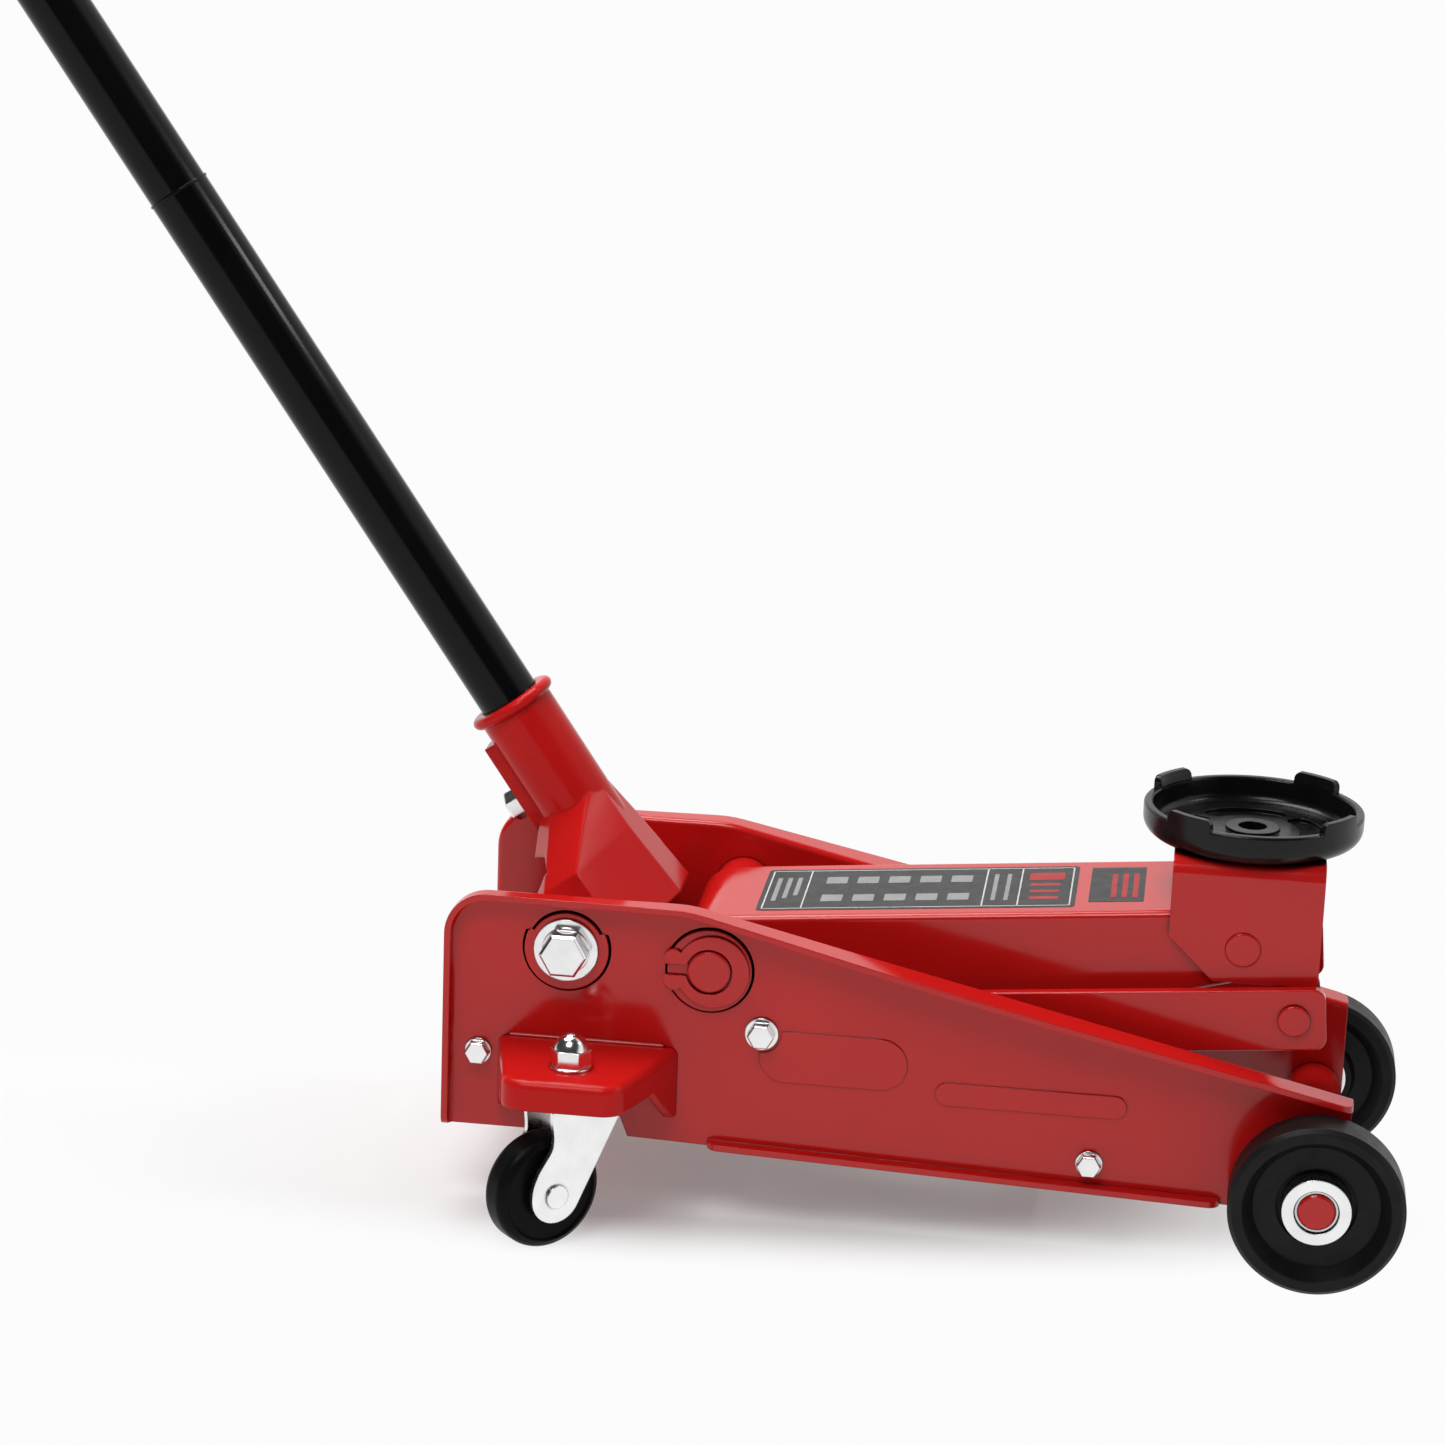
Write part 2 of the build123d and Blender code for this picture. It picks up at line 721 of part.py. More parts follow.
# Saddle: a cast cup with four lugs, turning on a post in the bracket
seat_z = bracket_top + play
floor_z = seat_z + saddle_floor_t
rim_z = floor_z + saddle_depth
tab_z = rim_z + tab_h
cup_r = saddle_r - saddle_wall
cup_draft = 1.5
rim_round = 1.2
floor_round = 4.0
pocket_arc = 60.0
spin = Axis((saddle_x, 0, 0), (0, 0, 1))
with BuildPart() as saddle:
    with BuildSketch(Plane((saddle_x, 0, 0), (1, 0, 0), (0, -1, 0))):
        with BuildLine():
            Polyline(
                (bore_r, seat_z - post_drop),
                (post_r, seat_z - post_drop),
                (post_r, seat_z),
                (saddle_r, seat_z),
                (saddle_r, rim_z),
                (cup_r, rim_z),
                (cup_r - cup_draft, floor_z),
                (saddle_boss_r, floor_z),
                (saddle_boss_r, floor_z + saddle_boss_h),
                (bore_r, floor_z + saddle_boss_h),
                close=True,
            )
        make_face()
        fillet(vertices().sort_by(Axis.X)[-2:].sort_by(Axis.Y)[0], saddle_round)
        foot_x = cup_r - cup_draft
        fillet(vertices().filter_by_position(Axis.X, foot_x - 0.1, foot_x + 0.1), floor_round)
        fillet(vertices().sort_by(Axis.Y)[-2:], rim_round)
    revolve(axis=spin)
    for k in range(4):
        start = radians(first_tab + 90 * k - tab_arc / 2)
        with BuildSketch(Plane((saddle_x, 0, 0), (cos(start), sin(start), 0), (sin(start), -cos(start), 0))):
            with BuildLine():
                Polyline(
                    (cup_r, rim_z - 2 * rim_round),
                    (saddle_r, rim_z - 2 * rim_round),
                    (saddle_r, tab_z),
                    (cup_r + cup_draft, tab_z),
                    (cup_r, rim_z),
                    close=True,
                )
            make_face()
        revolve(axis=spin, revolution_arc=tab_arc)
    fillet(edges().filter_by(GeomType.LINE).group_by(Axis.Z)[-1], tab_round)
    with BuildSketch(Plane.XY.offset(floor_z)):
        with Locations((saddle_x, 0)):
            for k in range(4):
                SlotArc(CenterArc((0, 0), pocket_r, first_tab + 90 * k + 15, pocket_arc), pocket_w)
    extrude(amount=-pocket_depth, mode=Mode.SUBTRACT)
save(saddle.part, "saddle")
with BuildPart() as post_ring:
    with BuildSketch(Plane.XY.offset(bracket_top - bracket_t - play)):
        with Locations((saddle_x, 0)):
            Circle(post_r + collar_wall)
            Circle(post_r, mode=Mode.SUBTRACT)
    extrude(amount=-ring_t)
save(post_ring.part, "saddle_post_ring")

# Handle socket: a cast tube that spreads into two cheeks on the pivot bolts
bore_s = 10.0
clamp_s = 59.0
clamp_across = 13.0
clamp_head = 7.0
clamp_r = 4.0
strap_h = 4.0
strap_w = 14.0
strap_s = 44.0
strap_len = 46.0
clamp_seat = socket_r + strap_h
tube_fit = 0.3
window_h = 26.0
pivot_boss_r = 13.0
clamp = Plane(pole.origin + pole.z_dir * clamp_s, pole.z_dir, -pole.x_dir)
pump_x = pivot_x - pump_lever
pump_z = pivot_z + pump_rise
pump_pin_r = 3.5
cheek_half = plate_in - cheek_gap
cheek_in = cheek_half - cheek_t
socket_low = -14.0
hip_s = 14.0


def pole_section(s, front, ridge, flank, rear):
    """Eight-sided sketch square to the pole at s, from the right half's four corners."""
    half = [front, ridge, flank, rear]
    right = [(n, -y) for n, y in half]
    left = [(n, y) for n, y in reversed(half)]
    with BuildSketch(pole.offset(s)) as section:
        with BuildLine():
            Polyline(*right, *left, close=True)
        make_face()
    return section.sketch


neck = ((16, 7), (12, 13), (-9, 15.5), (-16.5, 6))
shoulder = ((18.5, 12), (-4, cheek_half - 8), (-22, cheek_half - 8), (-34, cheek_half - 28))
hip = ((19.8, 12.6), (-2.9, cheek_half - 5.7), (-28, cheek_half), (-42, cheek_in))
foot = ((23, 14), (0, cheek_half), (-38, cheek_half), (-42, cheek_half - 10))
hollow = ((17, 9), (-6, cheek_in), (-below, cheek_in), (-beyond, cheek_in))
sections = ((shoulder_s, neck), (shoulder_s / 2, shoulder), (hip_s, hip), (socket_low, foot))
with BuildPart() as handle_socket:
    for upper, lower in zip(sections, sections[1:]):
        add(pole_section(upper[0], *upper[1]))
        add(pole_section(lower[0], *lower[1]))
        loft(ruled=True)
    with BuildSketch(pole.offset(bore_s)):
        Circle(socket_r)
    extrude(amount=lip_s - bore_s)
    with BuildSketch(Plane(pole.origin, pole.x_dir, -pole.y_dir)):
        with Locations((socket_r + play, lip_s - lip_r)):
            Circle(lip_r)
    revolve(axis=Axis(pole.origin, pole.z_dir))
    with BuildSketch(pole.offset(strap_s)):
        with Locations((-socket_r, 0)):
            Rectangle(2 * strap_h, strap_w)
    extrude(amount=strap_len)
    with BuildSketch(side(plate_in - play)):
        with Locations((pivot_x, pivot_z)):
            Circle(pivot_boss_r)
    extrude(amount=2 * (plate_in - play))
    add(pole_section(-below, *hollow))
    extrude(amount=below + bore_s, dir=pole.z_dir, mode=Mode.SUBTRACT)
    with BuildSketch(pole.offset(bore_s)):
        with Locations((-socket_r, 0)):
            Rectangle(below, 2 * cheek_in - strap_h, align=(Align.MAX, Align.CENTER))
    extrude(amount=window_h, mode=Mode.SUBTRACT)
    with BuildSketch(pole.offset(bore_s)):
        Circle(tube_r + tube_fit)
    extrude(amount=lip_s, mode=Mode.SUBTRACT)
    with BuildSketch(side(plate_in)):
        with Locations((pivot_x, pivot_z)):
            Circle(pivot_bolt_r + run)
        with Locations((pump_x, pump_z)):
            Circle(pump_pin_r)
    extrude(amount=plate_gap, mode=Mode.SUBTRACT)
    with BuildSketch(clamp.offset(tube_r)):
        Circle(clamp_r)
    extrude(amount=clamp_seat - tube_r, mode=Mode.SUBTRACT)
save(handle_socket.part, "handle_socket")

# Handle tubes, the clamp bolt that holds them in the socket, and the drive dog
tube_s = bore_s + tube_t
plug_len = 45.0
dog_low = -14.0
dog_r = 8.0
dog_plug = 16.0
slot_w = 4.5
slot_h = 7.0


def pole_rod(s_from, s_to, radius, hole=0.0):
    """Round piece on the pole's axis, with an optional hole."""
    with BuildPart() as rod:
        with BuildSketch(pole.offset(s_from)):
            Circle(radius)
            if hole:
                Circle(hole, mode=Mode.SUBTRACT)
        extrude(amount=s_to - s_from)
    return rod.part


save(pole_rod(tube_s, joint_s, tube_r, tube_r - tube_t), "handle_lower_tube")
plug_r = tube_r - tube_t
with BuildPart() as upper_tube:
    with BuildSketch(pole.offset(joint_s - plug_len)):
        Circle(plug_r)
    extrude(amount=plug_len)
    with BuildSketch(pole.offset(joint_s)):
        Circle(upper_r)
    extrude(amount=handle_s - grip_t - joint_s)
    with BuildSketch(pole.offset(joint_s - plug_len)):
        Circle(plug_r - tube_t)
    extrude(amount=handle_s, mode=Mode.SUBTRACT)
save(upper_tube.part, "handle_upper_tube")
with BuildPart() as grip:
    with BuildSketch(pole.offset(handle_s - grip_len)):
        Circle(grip_r)
    extrude(amount=grip_len)
    with BuildSketch(pole.offset(handle_s - grip_len)):
        Circle(upper_r)
    extrude(amount=grip_len - grip_t, mode=Mode.SUBTRACT)
save(grip.part, "handle_grip")
with BuildPart() as drive_dog:
    with BuildSketch(pole.offset(tube_s + tube_t)):
        Circle(plug_r)
    extrude(amount=dog_plug)
    with BuildSketch(pole.offset(dog_low)):
        Circle(dog_r)
    extrude(amount=tube_s + tube_t - dog_low)
    with BuildSketch(pole.offset(dog_low)):
        Rectangle(3 * dog_r, slot_w)
    extrude(amount=slot_h, mode=Mode.SUBTRACT)
save(drive_dog.part, "handle_drive_dog")

with BuildPart() as clamp_bolt:
    with BuildSketch(clamp.offset(clamp_seat)):
        RegularPolygon(clamp_across / 2, 6, major_radius=False)
    extrude(amount=clamp_head)
    chamfer(faces().sort_by(Axis(clamp.origin, clamp.z_dir))[-1].edges(), pin_edge)
    with BuildSketch(clamp.offset(tube_r + run)):
        Circle(clamp_r)
    extrude(amount=clamp_seat - tube_r - run)
save(clamp_bolt.part, "handle_clamp_bolt")

# Casters: bracket welded to the plate, kingpin, swivelling fork and wheel
root_rear, tip_rear, tip_front, root_front = 21.0, 33.0, 86.0, 105.0
plan_round = 12.0
bracket_edge = 4.0
gusset_w = 24.0
gusset_foot = 4.0
tip_y = plate_out + caster_reach


def bracket_plan(inset):
    """Plan outline of the caster bracket, drawn in by the sheet thickness where asked."""
    with BuildSketch(Plane.XY.offset(caster_top - inset)) as plan:
        with BuildLine():
            Polyline(
                (rear_x + root_rear + inset, -plate_out),
                (rear_x + tip_rear + inset, -tip_y + inset),
                (rear_x + tip_front - inset, -tip_y + inset),
                (rear_x + root_front - inset, -plate_out),
                close=True,
            )
        make_face()
        fillet(vertices().group_by(Axis.Y)[0], plan_round - inset)
    return plan.sketch


with BuildPart() as caster_bracket:
    add(bracket_plan(0))
    extrude(amount=gusset_low - caster_top)
    top_edges = faces().sort_by(Axis.Z)[-1].edges()
    fillet(top_edges.filter_by(lambda e: e.center().Y < -plate_out - 0.01), bracket_edge)
    add(bracket_plan(bracket_plate))
    extrude(amount=gusset_low - caster_top, mode=Mode.SUBTRACT)
    with BuildSketch(Plane.YZ.offset(rear_x)):
        with BuildLine():
            Polyline(
                (-tip_y - skirt, gusset_low - skirt),
                (-tip_y - skirt, caster_top - skirt),
                (-plate_out - gusset_w, caster_top - skirt),
                (-plate_out - gusset_foot, gusset_low),
                (-plate_out, gusset_low),
                (-plate_out, gusset_low - skirt),
                close=True,
            )
        make_face()
    extrude(amount=2 * root_front, mode=Mode.SUBTRACT)
    with BuildSketch(Plane.XY.offset(caster_top)):
        with Locations((kingpin_x, -kingpin_y)):
            Circle(kingpin_r)
    extrude(amount=-2 * bracket_plate, mode=Mode.SUBTRACT)
save_pair(caster_bracket.part, "caster_bracket")

race_t = 3.0
race_r = 14.0
fork_top = caster_top - bracket_plate - race_t - play
head_top = fork_top - fork_t - play
head_t = 4.0
head_r = 9.0
thread_len = 9.0
roll = (cos(radians(swivel)), sin(radians(swivel)), 0)
outward = (sin(radians(swivel)), -cos(radians(swivel)), 0)
kingpin_foot = Vector(kingpin_x, -kingpin_y, 0)
caster = Plane(kingpin_foot, roll, (0, 0, 1))


def caster_side(y):
    """Sketch plane along the caster's rolling direction, y outwards from the kingpin."""
    return Plane(kingpin_foot + Vector(outward) * y, roll, outward)


with BuildPart() as kingpin:
    with BuildSketch(Plane.XY.offset(head_top - head_t)):
        with Locations((kingpin_x, -kingpin_y)):
            Circle(head_r)
    extrude(amount=head_t)
    with BuildSketch(Plane.XY.offset(head_top)):
        with Locations((kingpin_x, -kingpin_y)):
            Circle(kingpin_r)
    extrude(amount=caster_top + thread_len - head_top)
save(both_sides(kingpin.part), "caster_kingpins")
with BuildPart() as race:
    with BuildSketch(Plane.XY.offset(caster_top - bracket_plate)):
        with Locations((kingpin_x, -kingpin_y)):
            Circle(race_r)
            Circle(kingpin_r, mode=Mode.SUBTRACT)
    extrude(amount=-race_t)
save(both_sides(race.part), "caster_races")
nut_across = 16.5
nut_h = 8.0
nut_washer_r = 9.8
nut_washer_t = 1.2
dome_r = 8.25
dome_h = 6.8
nut_top = caster_top + nut_washer_t + nut_h
with BuildPart() as dome_nut:
    with BuildSketch(Plane.XY.offset(caster_top)):
        with Locations((kingpin_x, -kingpin_y)):
            Circle(nut_washer_r)
    extrude(amount=nut_washer_t)
    with BuildSketch(Plane.XY.offset(caster_top + nut_washer_t)):
        with Locations((kingpin_x, -kingpin_y)):
            RegularPolygon(nut_across / 2, 6, major_radius=False)
    extrude(amount=nut_h)
    with Locations((kingpin_x, -kingpin_y, nut_top + dome_h - dome_r)):
        Sphere(dome_r)
    with BuildSketch(Plane.XY.offset(caster_top + thread_len)):
        with Locations((kingpin_x, -kingpin_y)):
            Circle(kingpin_r)
    extrude(amount=-2 * thread_len, mode=Mode.SUBTRACT)
save(both_sides(dome_nut.part), "caster_dome_nuts")

leg_gap = 1.2
leg_in = caster_w / 2 + leg_gap
leg_out = leg_in + fork_t
rivet_r = 4.0
rivet_head_r = 5.5
rivet_head_t = 1.5
leg_r = 12.8
neck_half = 12.0
neck_z = 70.0
leg_rear, leg_front = -17.0, 20.0
hip_z = 62.0
waist_x, waist_z = -16.0, 52.0
wheel_c = Vector(-trail, caster_r)
reach = hypot(leg_front - wheel_c.X, hip_z - wheel_c.Y)
run_way = atan2(hip_z - wheel_c.Y, leg_front - wheel_c.X) - acos(leg_r / reach)
leg_foot = wheel_c + Vector(cos(run_way), sin(run_way)) * leg_r
leg_side = wheel_c - Vector(leg_r, 0)
with BuildPart() as fork:
    with BuildSketch(caster_side(-leg_out)):
        with BuildLine():
            Polyline(
                (leg_rear, neck_z - fork_t),
                (-neck_half, neck_z),
                (-neck_half, fork_top),
                (neck_half, fork_top),
                (neck_half, neck_z),
                (leg_front, neck_z - fork_t),
                (leg_front, hip_z),
                leg_foot,
            )
            ThreePointArc(leg_foot, wheel_c - Vector(0, leg_r), leg_side)
            Spline(leg_side, (waist_x, waist_z), (leg_rear, neck_z - fork_t), tangents=((0, 1), (0, 1)))
        make_face()
    extrude(amount=2 * leg_out)
    with BuildSketch(caster_side(-leg_in)):
        with Locations((0, fork_top - fork_t)):
            Rectangle(4 * leg_front, 2 * fork_top, align=(Align.CENTER, Align.MAX))
    extrude(amount=2 * leg_in, mode=Mode.SUBTRACT)
    with BuildSketch(caster_side(-leg_out)):
        with Locations((-trail, caster_r)):
            Circle(rivet_r)
    extrude(amount=2 * leg_out, mode=Mode.SUBTRACT)
    with BuildSketch(Plane.XY.offset(fork_top)):
        with Locations((kingpin_x, -kingpin_y)):
            Circle(kingpin_r + play)
    extrude(amount=-2 * fork_t, mode=Mode.SUBTRACT)
save_pair(fork.part, "caster_fork")

hub_half = caster_w / 2
caster_hub_r = 9.0
caster_rim = 5.0
web_in = 2.0
crown = 3.0
tread_round = 5.0
with BuildPart() as caster_wheel:
    with BuildSketch(Plane(kingpin_foot - Vector(roll) * trail + Vector(0, 0, caster_r), outward, roll)):
        with BuildLine():
            Polyline(
                (-hub_half, rivet_r + run),
                (hub_half, rivet_r + run),
                (hub_half, caster_hub_r),
                (hub_half - web_in, caster_hub_r + web_in),
                (hub_half - web_in, caster_r - caster_rim),
                (hub_half - web_in / 4, caster_r - caster_rim + 1),
                (hub_half - crown, caster_r),
                (crown - hub_half, caster_r),
                (web_in / 4 - hub_half, caster_r - caster_rim + 1),
                (web_in - hub_half, caster_r - caster_rim),
                (web_in - hub_half, caster_hub_r + web_in),
                (-hub_half, caster_hub_r),
                close=True,
            )
        make_face()
        fillet(vertices().group_by(Axis.Y)[-1], tread_round)
    revolve(axis=Axis(kingpin_foot - Vector(roll) * trail + Vector(0, 0, caster_r), outward))
save_pair(caster_wheel.part, "caster_wheel")
with BuildPart() as rivet:
    with BuildSketch(caster_side(-leg_out - rivet_head_t)):
        with Locations((-trail, caster_r)):
            Circle(rivet_r)
    extrude(amount=2 * (leg_out + rivet_head_t))
    for y in (leg_out, -leg_out - rivet_head_t):
        with BuildSketch(caster_side(y)):
            with Locations((-trail, caster_r)):
                Circle(rivet_head_r)
        extrude(amount=rivet_head_t)
save_pair(rivet.part, "caster_axle")

# Power unit: pump block, reservoir with the ram cylinder inside, ram and pump
base_top = arch_height + base_t
block_top = 80.0
block_half = 28.0
block_round = 4.0
pump_floor = 4.0
barrel_top = 86.0
spring_r = 9.0
unit_flange_x = pump_x + spring_r + spring_wire + 1
unit_flange_t = 4.0
unit_lip = 2.0
unit_rear = unit_flange_x + unit_flange_t
ram_face = crank_x - roller_r - play
ram_proud = 2.5
head_len = 12.0
head_front = ram_face - ram_proud
head_rear = head_front - head_len
barrel_r = 12.0
valve_boss_r = 7.5
valve_r = 4.0
valve_low, valve_top = -40.0, -16.0
with BuildPart() as pump_block:
    with BuildSketch(Plane.XY.offset(base_top)):
        with BuildLine():
            Polyline(
                (block_rear, -block_half),
                (unit_rear, -block_half),
                (unit_rear, block_half),
                (block_rear, block_half),
                close=True,
            )
        make_face()
        fillet(vertices(), block_round)
    extrude(amount=block_top - base_top)
    with BuildSketch(Plane.XY.offset(block_top)):
        with Locations((pump_x, 0)):
            Circle(barrel_r)
    extrude(amount=barrel_top - block_top)
    with BuildSketch(Plane.YZ.offset(unit_flange_x)):
        with Locations((0, ram_z)):
            Circle(unit_r + unit_lip)
    extrude(amount=unit_flange_t)
    with BuildSketch(Plane.XY.offset(barrel_top)):
        with Locations((pump_x, 0)):
            Circle(plunger_r + run)
    extrude(amount=base_top + pump_floor - barrel_top, mode=Mode.SUBTRACT)
save(pump_block.part, "pump_block")


def ram_tube(x_from, x_to, radius, hole=0.0):
    """Round piece on the ram's axis, with an optional hole."""
    with BuildPart() as tube:
        with BuildSketch(Plane.YZ.offset(x_from)):
            with Locations((0, ram_z)):
                Circle(radius)
                if hole:
                    Circle(hole, mode=Mode.SUBTRACT)
        extrude(amount=x_to - x_from)
    return tube.part


filler_x = (unit_rear + head_rear) / 2
filler_r = 4.0
filler_cap = 3.0
filler_lip = 2.0
tank_t = 3.0
cylinder_t = 4.0
valve_cap_t = 4.0
valve_cap_r = 6.0
blade_w = 10.0
blade_gap = 1.5
valve_floor = 2.0
boss_len = 12.0
with BuildPart() as reservoir:
    add(ram_tube(unit_rear, head_rear, unit_r, unit_r - tank_t))
    with BuildSketch(Plane.XY.offset(ram_z)):
        with Locations((filler_x, 0)):
            Circle(filler_r)
    extrude(amount=2 * unit_r, mode=Mode.SUBTRACT)
save(reservoir.part, "reservoir")
save(ram_tube(unit_rear, head_rear, ram_r + cylinder_t, ram_r + play), "ram_cylinder")
with BuildPart() as cylinder_head:
    with BuildSketch(Plane.YZ.offset(head_rear)):
        with Locations((0, ram_z)):
            Circle(unit_r + unit_lip)
    extrude(amount=head_len)
    with BuildSketch(pole.offset(valve_low - valve_floor)):
        Circle(valve_boss_r)
    extrude(amount=boss_len)
    with BuildSketch(Plane.YZ.offset(head_rear)):
        with Locations((0, ram_z)):
            Circle(ram_r + run)
    extrude(amount=2 * head_len, mode=Mode.SUBTRACT)
    with BuildSketch(pole.offset(valve_low)):
        Circle(valve_r + run)
    extrude(amount=below, mode=Mode.SUBTRACT)
save(cylinder_head.part, "cylinder_head")
save(ram_tube(unit_rear + 1, ram_face, ram_r), "ram")
with BuildPart() as release_valve:
    with BuildSketch(pole.offset(valve_low + play)):
        Circle(valve_r)
    extrude(amount=valve_top - valve_low - play)
    with BuildSketch(pole.offset(valve_top - valve_cap_t)):
        Circle(valve_cap_r)
    extrude(amount=valve_cap_t)
    with BuildSketch(pole.offset(valve_top)):
        Rectangle(blade_w, slot_w - blade_gap)
    extrude(amount=dog_low + slot_h - blade_gap - valve_top)
save(release_valve.part, "release_valve")
with BuildPart() as filler_plug:
    with BuildSketch(Plane.XY.offset(ram_z + unit_r - tank_t)):
        with Locations((filler_x, 0)):
            Circle(filler_r)
    extrude(amount=tank_t)
    with BuildSketch(Plane.XY.offset(ram_z + unit_r)):
        with Locations((filler_x, 0)):
            Circle(filler_r + filler_lip)
    extrude(amount=filler_cap)
save(filler_plug.part, "filler_plug")

roller_gap = 0.6
plunger_stop = 24.0
plunger_top = pump_z - pump_roller_r - roller_gap
plunger_low = base_top + plunger_stop
plunger_tip = 3.0
cap_t = 4.0
cap_z = plunger_top - plunger_tip - cap_t
pump_roller_half = 7.0
pump_pin_half = cheek_in + 4
with BuildPart() as plunger:
    with BuildSketch(Plane.XY.offset(plunger_low)):
        with Locations((pump_x, 0)):
            Circle(plunger_r)
    extrude(amount=plunger_top - plunger_low)
    with BuildSketch(Plane.XY.offset(cap_z)):
        with Locations((pump_x, 0)):
            Circle(spring_r + spring_wire)
    extrude(amount=cap_t)
save(plunger.part, "pump_plunger")
save(disc(pump_x, pump_z, -pump_pin_half, pump_pin_half, pump_pin_r), "pump_roller_pin")
pump_bore = pump_pin_r + run
save(disc(pump_x, pump_z, -pump_roller_half, pump_roller_half, pump_roller_r, pump_bore), "pump_roller")


# Springs: one unbroken wire each, wound from pairs of tangent arcs
def biarc(p0, t0, p1, t1):
    """Two arcs that leave p0 along t0 and reach p1 along t1, in the line being built."""
    span = p1 - p0
    both = t0 + t1
    bend = 2 * (1 - t0.dot(t1))
    reach = span.dot(both)
    if bend < 1e-9:
        d = span.dot(span) / (2 * reach)
    else:
        d = ((reach**2 + bend * span.dot(span)) ** 0.5 - reach) / bend
    leave = p0 + t0 * d
    arrive = p1 - t1 * d
    middle = (leave + arrive) / 2
    TangentArc(p0, middle, tangent=t0)
    TangentArc(middle, p1, tangent=arrive - leave)


def coil(frame, radius, wire_r, length, turns, lead):
    """Coil along a plane's normal from its origin, with axial leads where asked."""
    steps = 4 * turns
    rise = (length - 2 * lead) / steps
    axial = Vector(frame.z_dir)

    def place(k):
        turn = radians(90 * k)
        across = frame.x_dir * cos(turn) + frame.y_dir * sin(turn)
        round_way = frame.y_dir * cos(turn) - frame.x_dir * sin(turn)
        point = frame.origin + across * radius + axial * (lead + rise * k)
        return point, (round_way * (radius * pi / 2) + axial * rise).normalized()

    with BuildPart() as wound:
        with BuildLine() as wire:
            first, first_way = place(0)
            last, last_way = place(steps)
            if lead:
                Line(frame.origin, frame.origin + axial * (lead - 2 * radius))
                biarc(frame.origin + axial * (lead - 2 * radius), axial, first, first_way)
            for k in range(steps):
                biarc(*place(k), *place(k + 1))
            if lead:
                far = frame.origin + axial * length
                biarc(last, last_way, far - axial * (lead - 2 * radius), axial)
                Line(far - axial * (lead - 2 * radius), far)
        start = wire.line @ 0
        with BuildSketch(Plane(start, z_dir=wire.line % 0)):
            Circle(wire_r)
        sweep()
    points = [wire.line @ (k / (40 * turns)) for k in range(40 * turns + 1)]
    apart = [
        (points[i] - points[j]).length
        for i in range(len(points))
        for j in range(i + 20, len(points))
    ]
    print("coil gap", round(min(apart) - 2 * wire_r, 2))
    return wound.part


spring_seat = barrel_top + spring_wire / 2
spring_len = cap_z - spring_wire / 2 - spring_seat
pump_turns = 5
pump_spring = coil(Plane((pump_x, 0, spring_seat)), spring_r, spring_wire / 2, spring_len, pump_turns, 0)
save(pump_spring, "pump_spring")
return_wire = 2.2
return_r = 7.0
return_inset = 16.0
return_y = arm_half - arm_t - return_inset
return_turns = 9
return_lead = 30.0
pull = Vector(anchor_x - front_bolt_x, 0, anchor_z - front_bolt_z)
pull_way = pull.normalized()
return_from = Vector(front_bolt_x, -return_y, front_bolt_z) + pull_way * bar_r
return_length = pull.length - bar_r - anchor_r
hook = Plane(return_from, (0, 1, 0), pull_way)
return_spring = coil(hook, return_r, return_wire / 2, return_length, return_turns, return_lead)
save_pair(return_spring, "return_spring")
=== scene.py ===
"""Looks for a hydraulic trolley jack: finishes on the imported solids, fine pieces and the studio."""
import json
from math import atan2, cos, pi, radians, sin
from typing import NamedTuple

import bmesh
import bpy
from mathutils import Matrix, Vector


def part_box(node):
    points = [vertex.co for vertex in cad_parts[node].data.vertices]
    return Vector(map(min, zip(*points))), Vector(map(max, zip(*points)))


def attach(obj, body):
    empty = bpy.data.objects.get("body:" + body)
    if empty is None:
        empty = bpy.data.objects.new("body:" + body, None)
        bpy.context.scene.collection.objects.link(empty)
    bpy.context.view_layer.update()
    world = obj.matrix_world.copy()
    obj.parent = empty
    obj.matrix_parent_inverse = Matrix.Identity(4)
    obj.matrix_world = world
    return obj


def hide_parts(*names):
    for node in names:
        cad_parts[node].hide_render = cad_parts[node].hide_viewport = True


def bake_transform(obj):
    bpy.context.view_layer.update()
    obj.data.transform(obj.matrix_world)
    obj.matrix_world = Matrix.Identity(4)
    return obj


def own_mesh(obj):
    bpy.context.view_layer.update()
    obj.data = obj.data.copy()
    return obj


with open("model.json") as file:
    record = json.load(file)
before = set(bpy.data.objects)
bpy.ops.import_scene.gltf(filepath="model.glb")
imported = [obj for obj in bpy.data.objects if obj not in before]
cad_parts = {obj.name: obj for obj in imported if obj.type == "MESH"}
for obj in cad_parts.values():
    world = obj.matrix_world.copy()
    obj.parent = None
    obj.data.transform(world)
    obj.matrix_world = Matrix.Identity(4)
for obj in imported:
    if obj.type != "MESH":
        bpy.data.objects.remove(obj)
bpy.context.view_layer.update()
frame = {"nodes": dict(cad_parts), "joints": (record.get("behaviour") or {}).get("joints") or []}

bl_info = {
    "name": "Trolley jack",
    "version": (1, 0, 0),
    "blender": (4, 5, 0),
    "location": "View3D > Sidebar > Jack",
    "description": "Dresses a packed trolley jack and sets up its studio",
    "category": "Object",
}

NODES = frame["nodes"]
JOINTS = {joint["name"]: joint for joint in frame["joints"]}
LATERAL = Vector((0, 1, 0))
UP = Vector((0, 0, 1))

# Return springs, in metres
SPRING_PIN_R = 0.004  # pin on the arm that holds their upper hooks
HOOK_BEND = 0.004  # bend between a hook and its shank
HOOK_GAP = 0.0002  # between a hook and what it hangs on
HOOK_WRAP = radians(235)
COIL_CORNER = 0.0035  # bend between a shank and the first turn

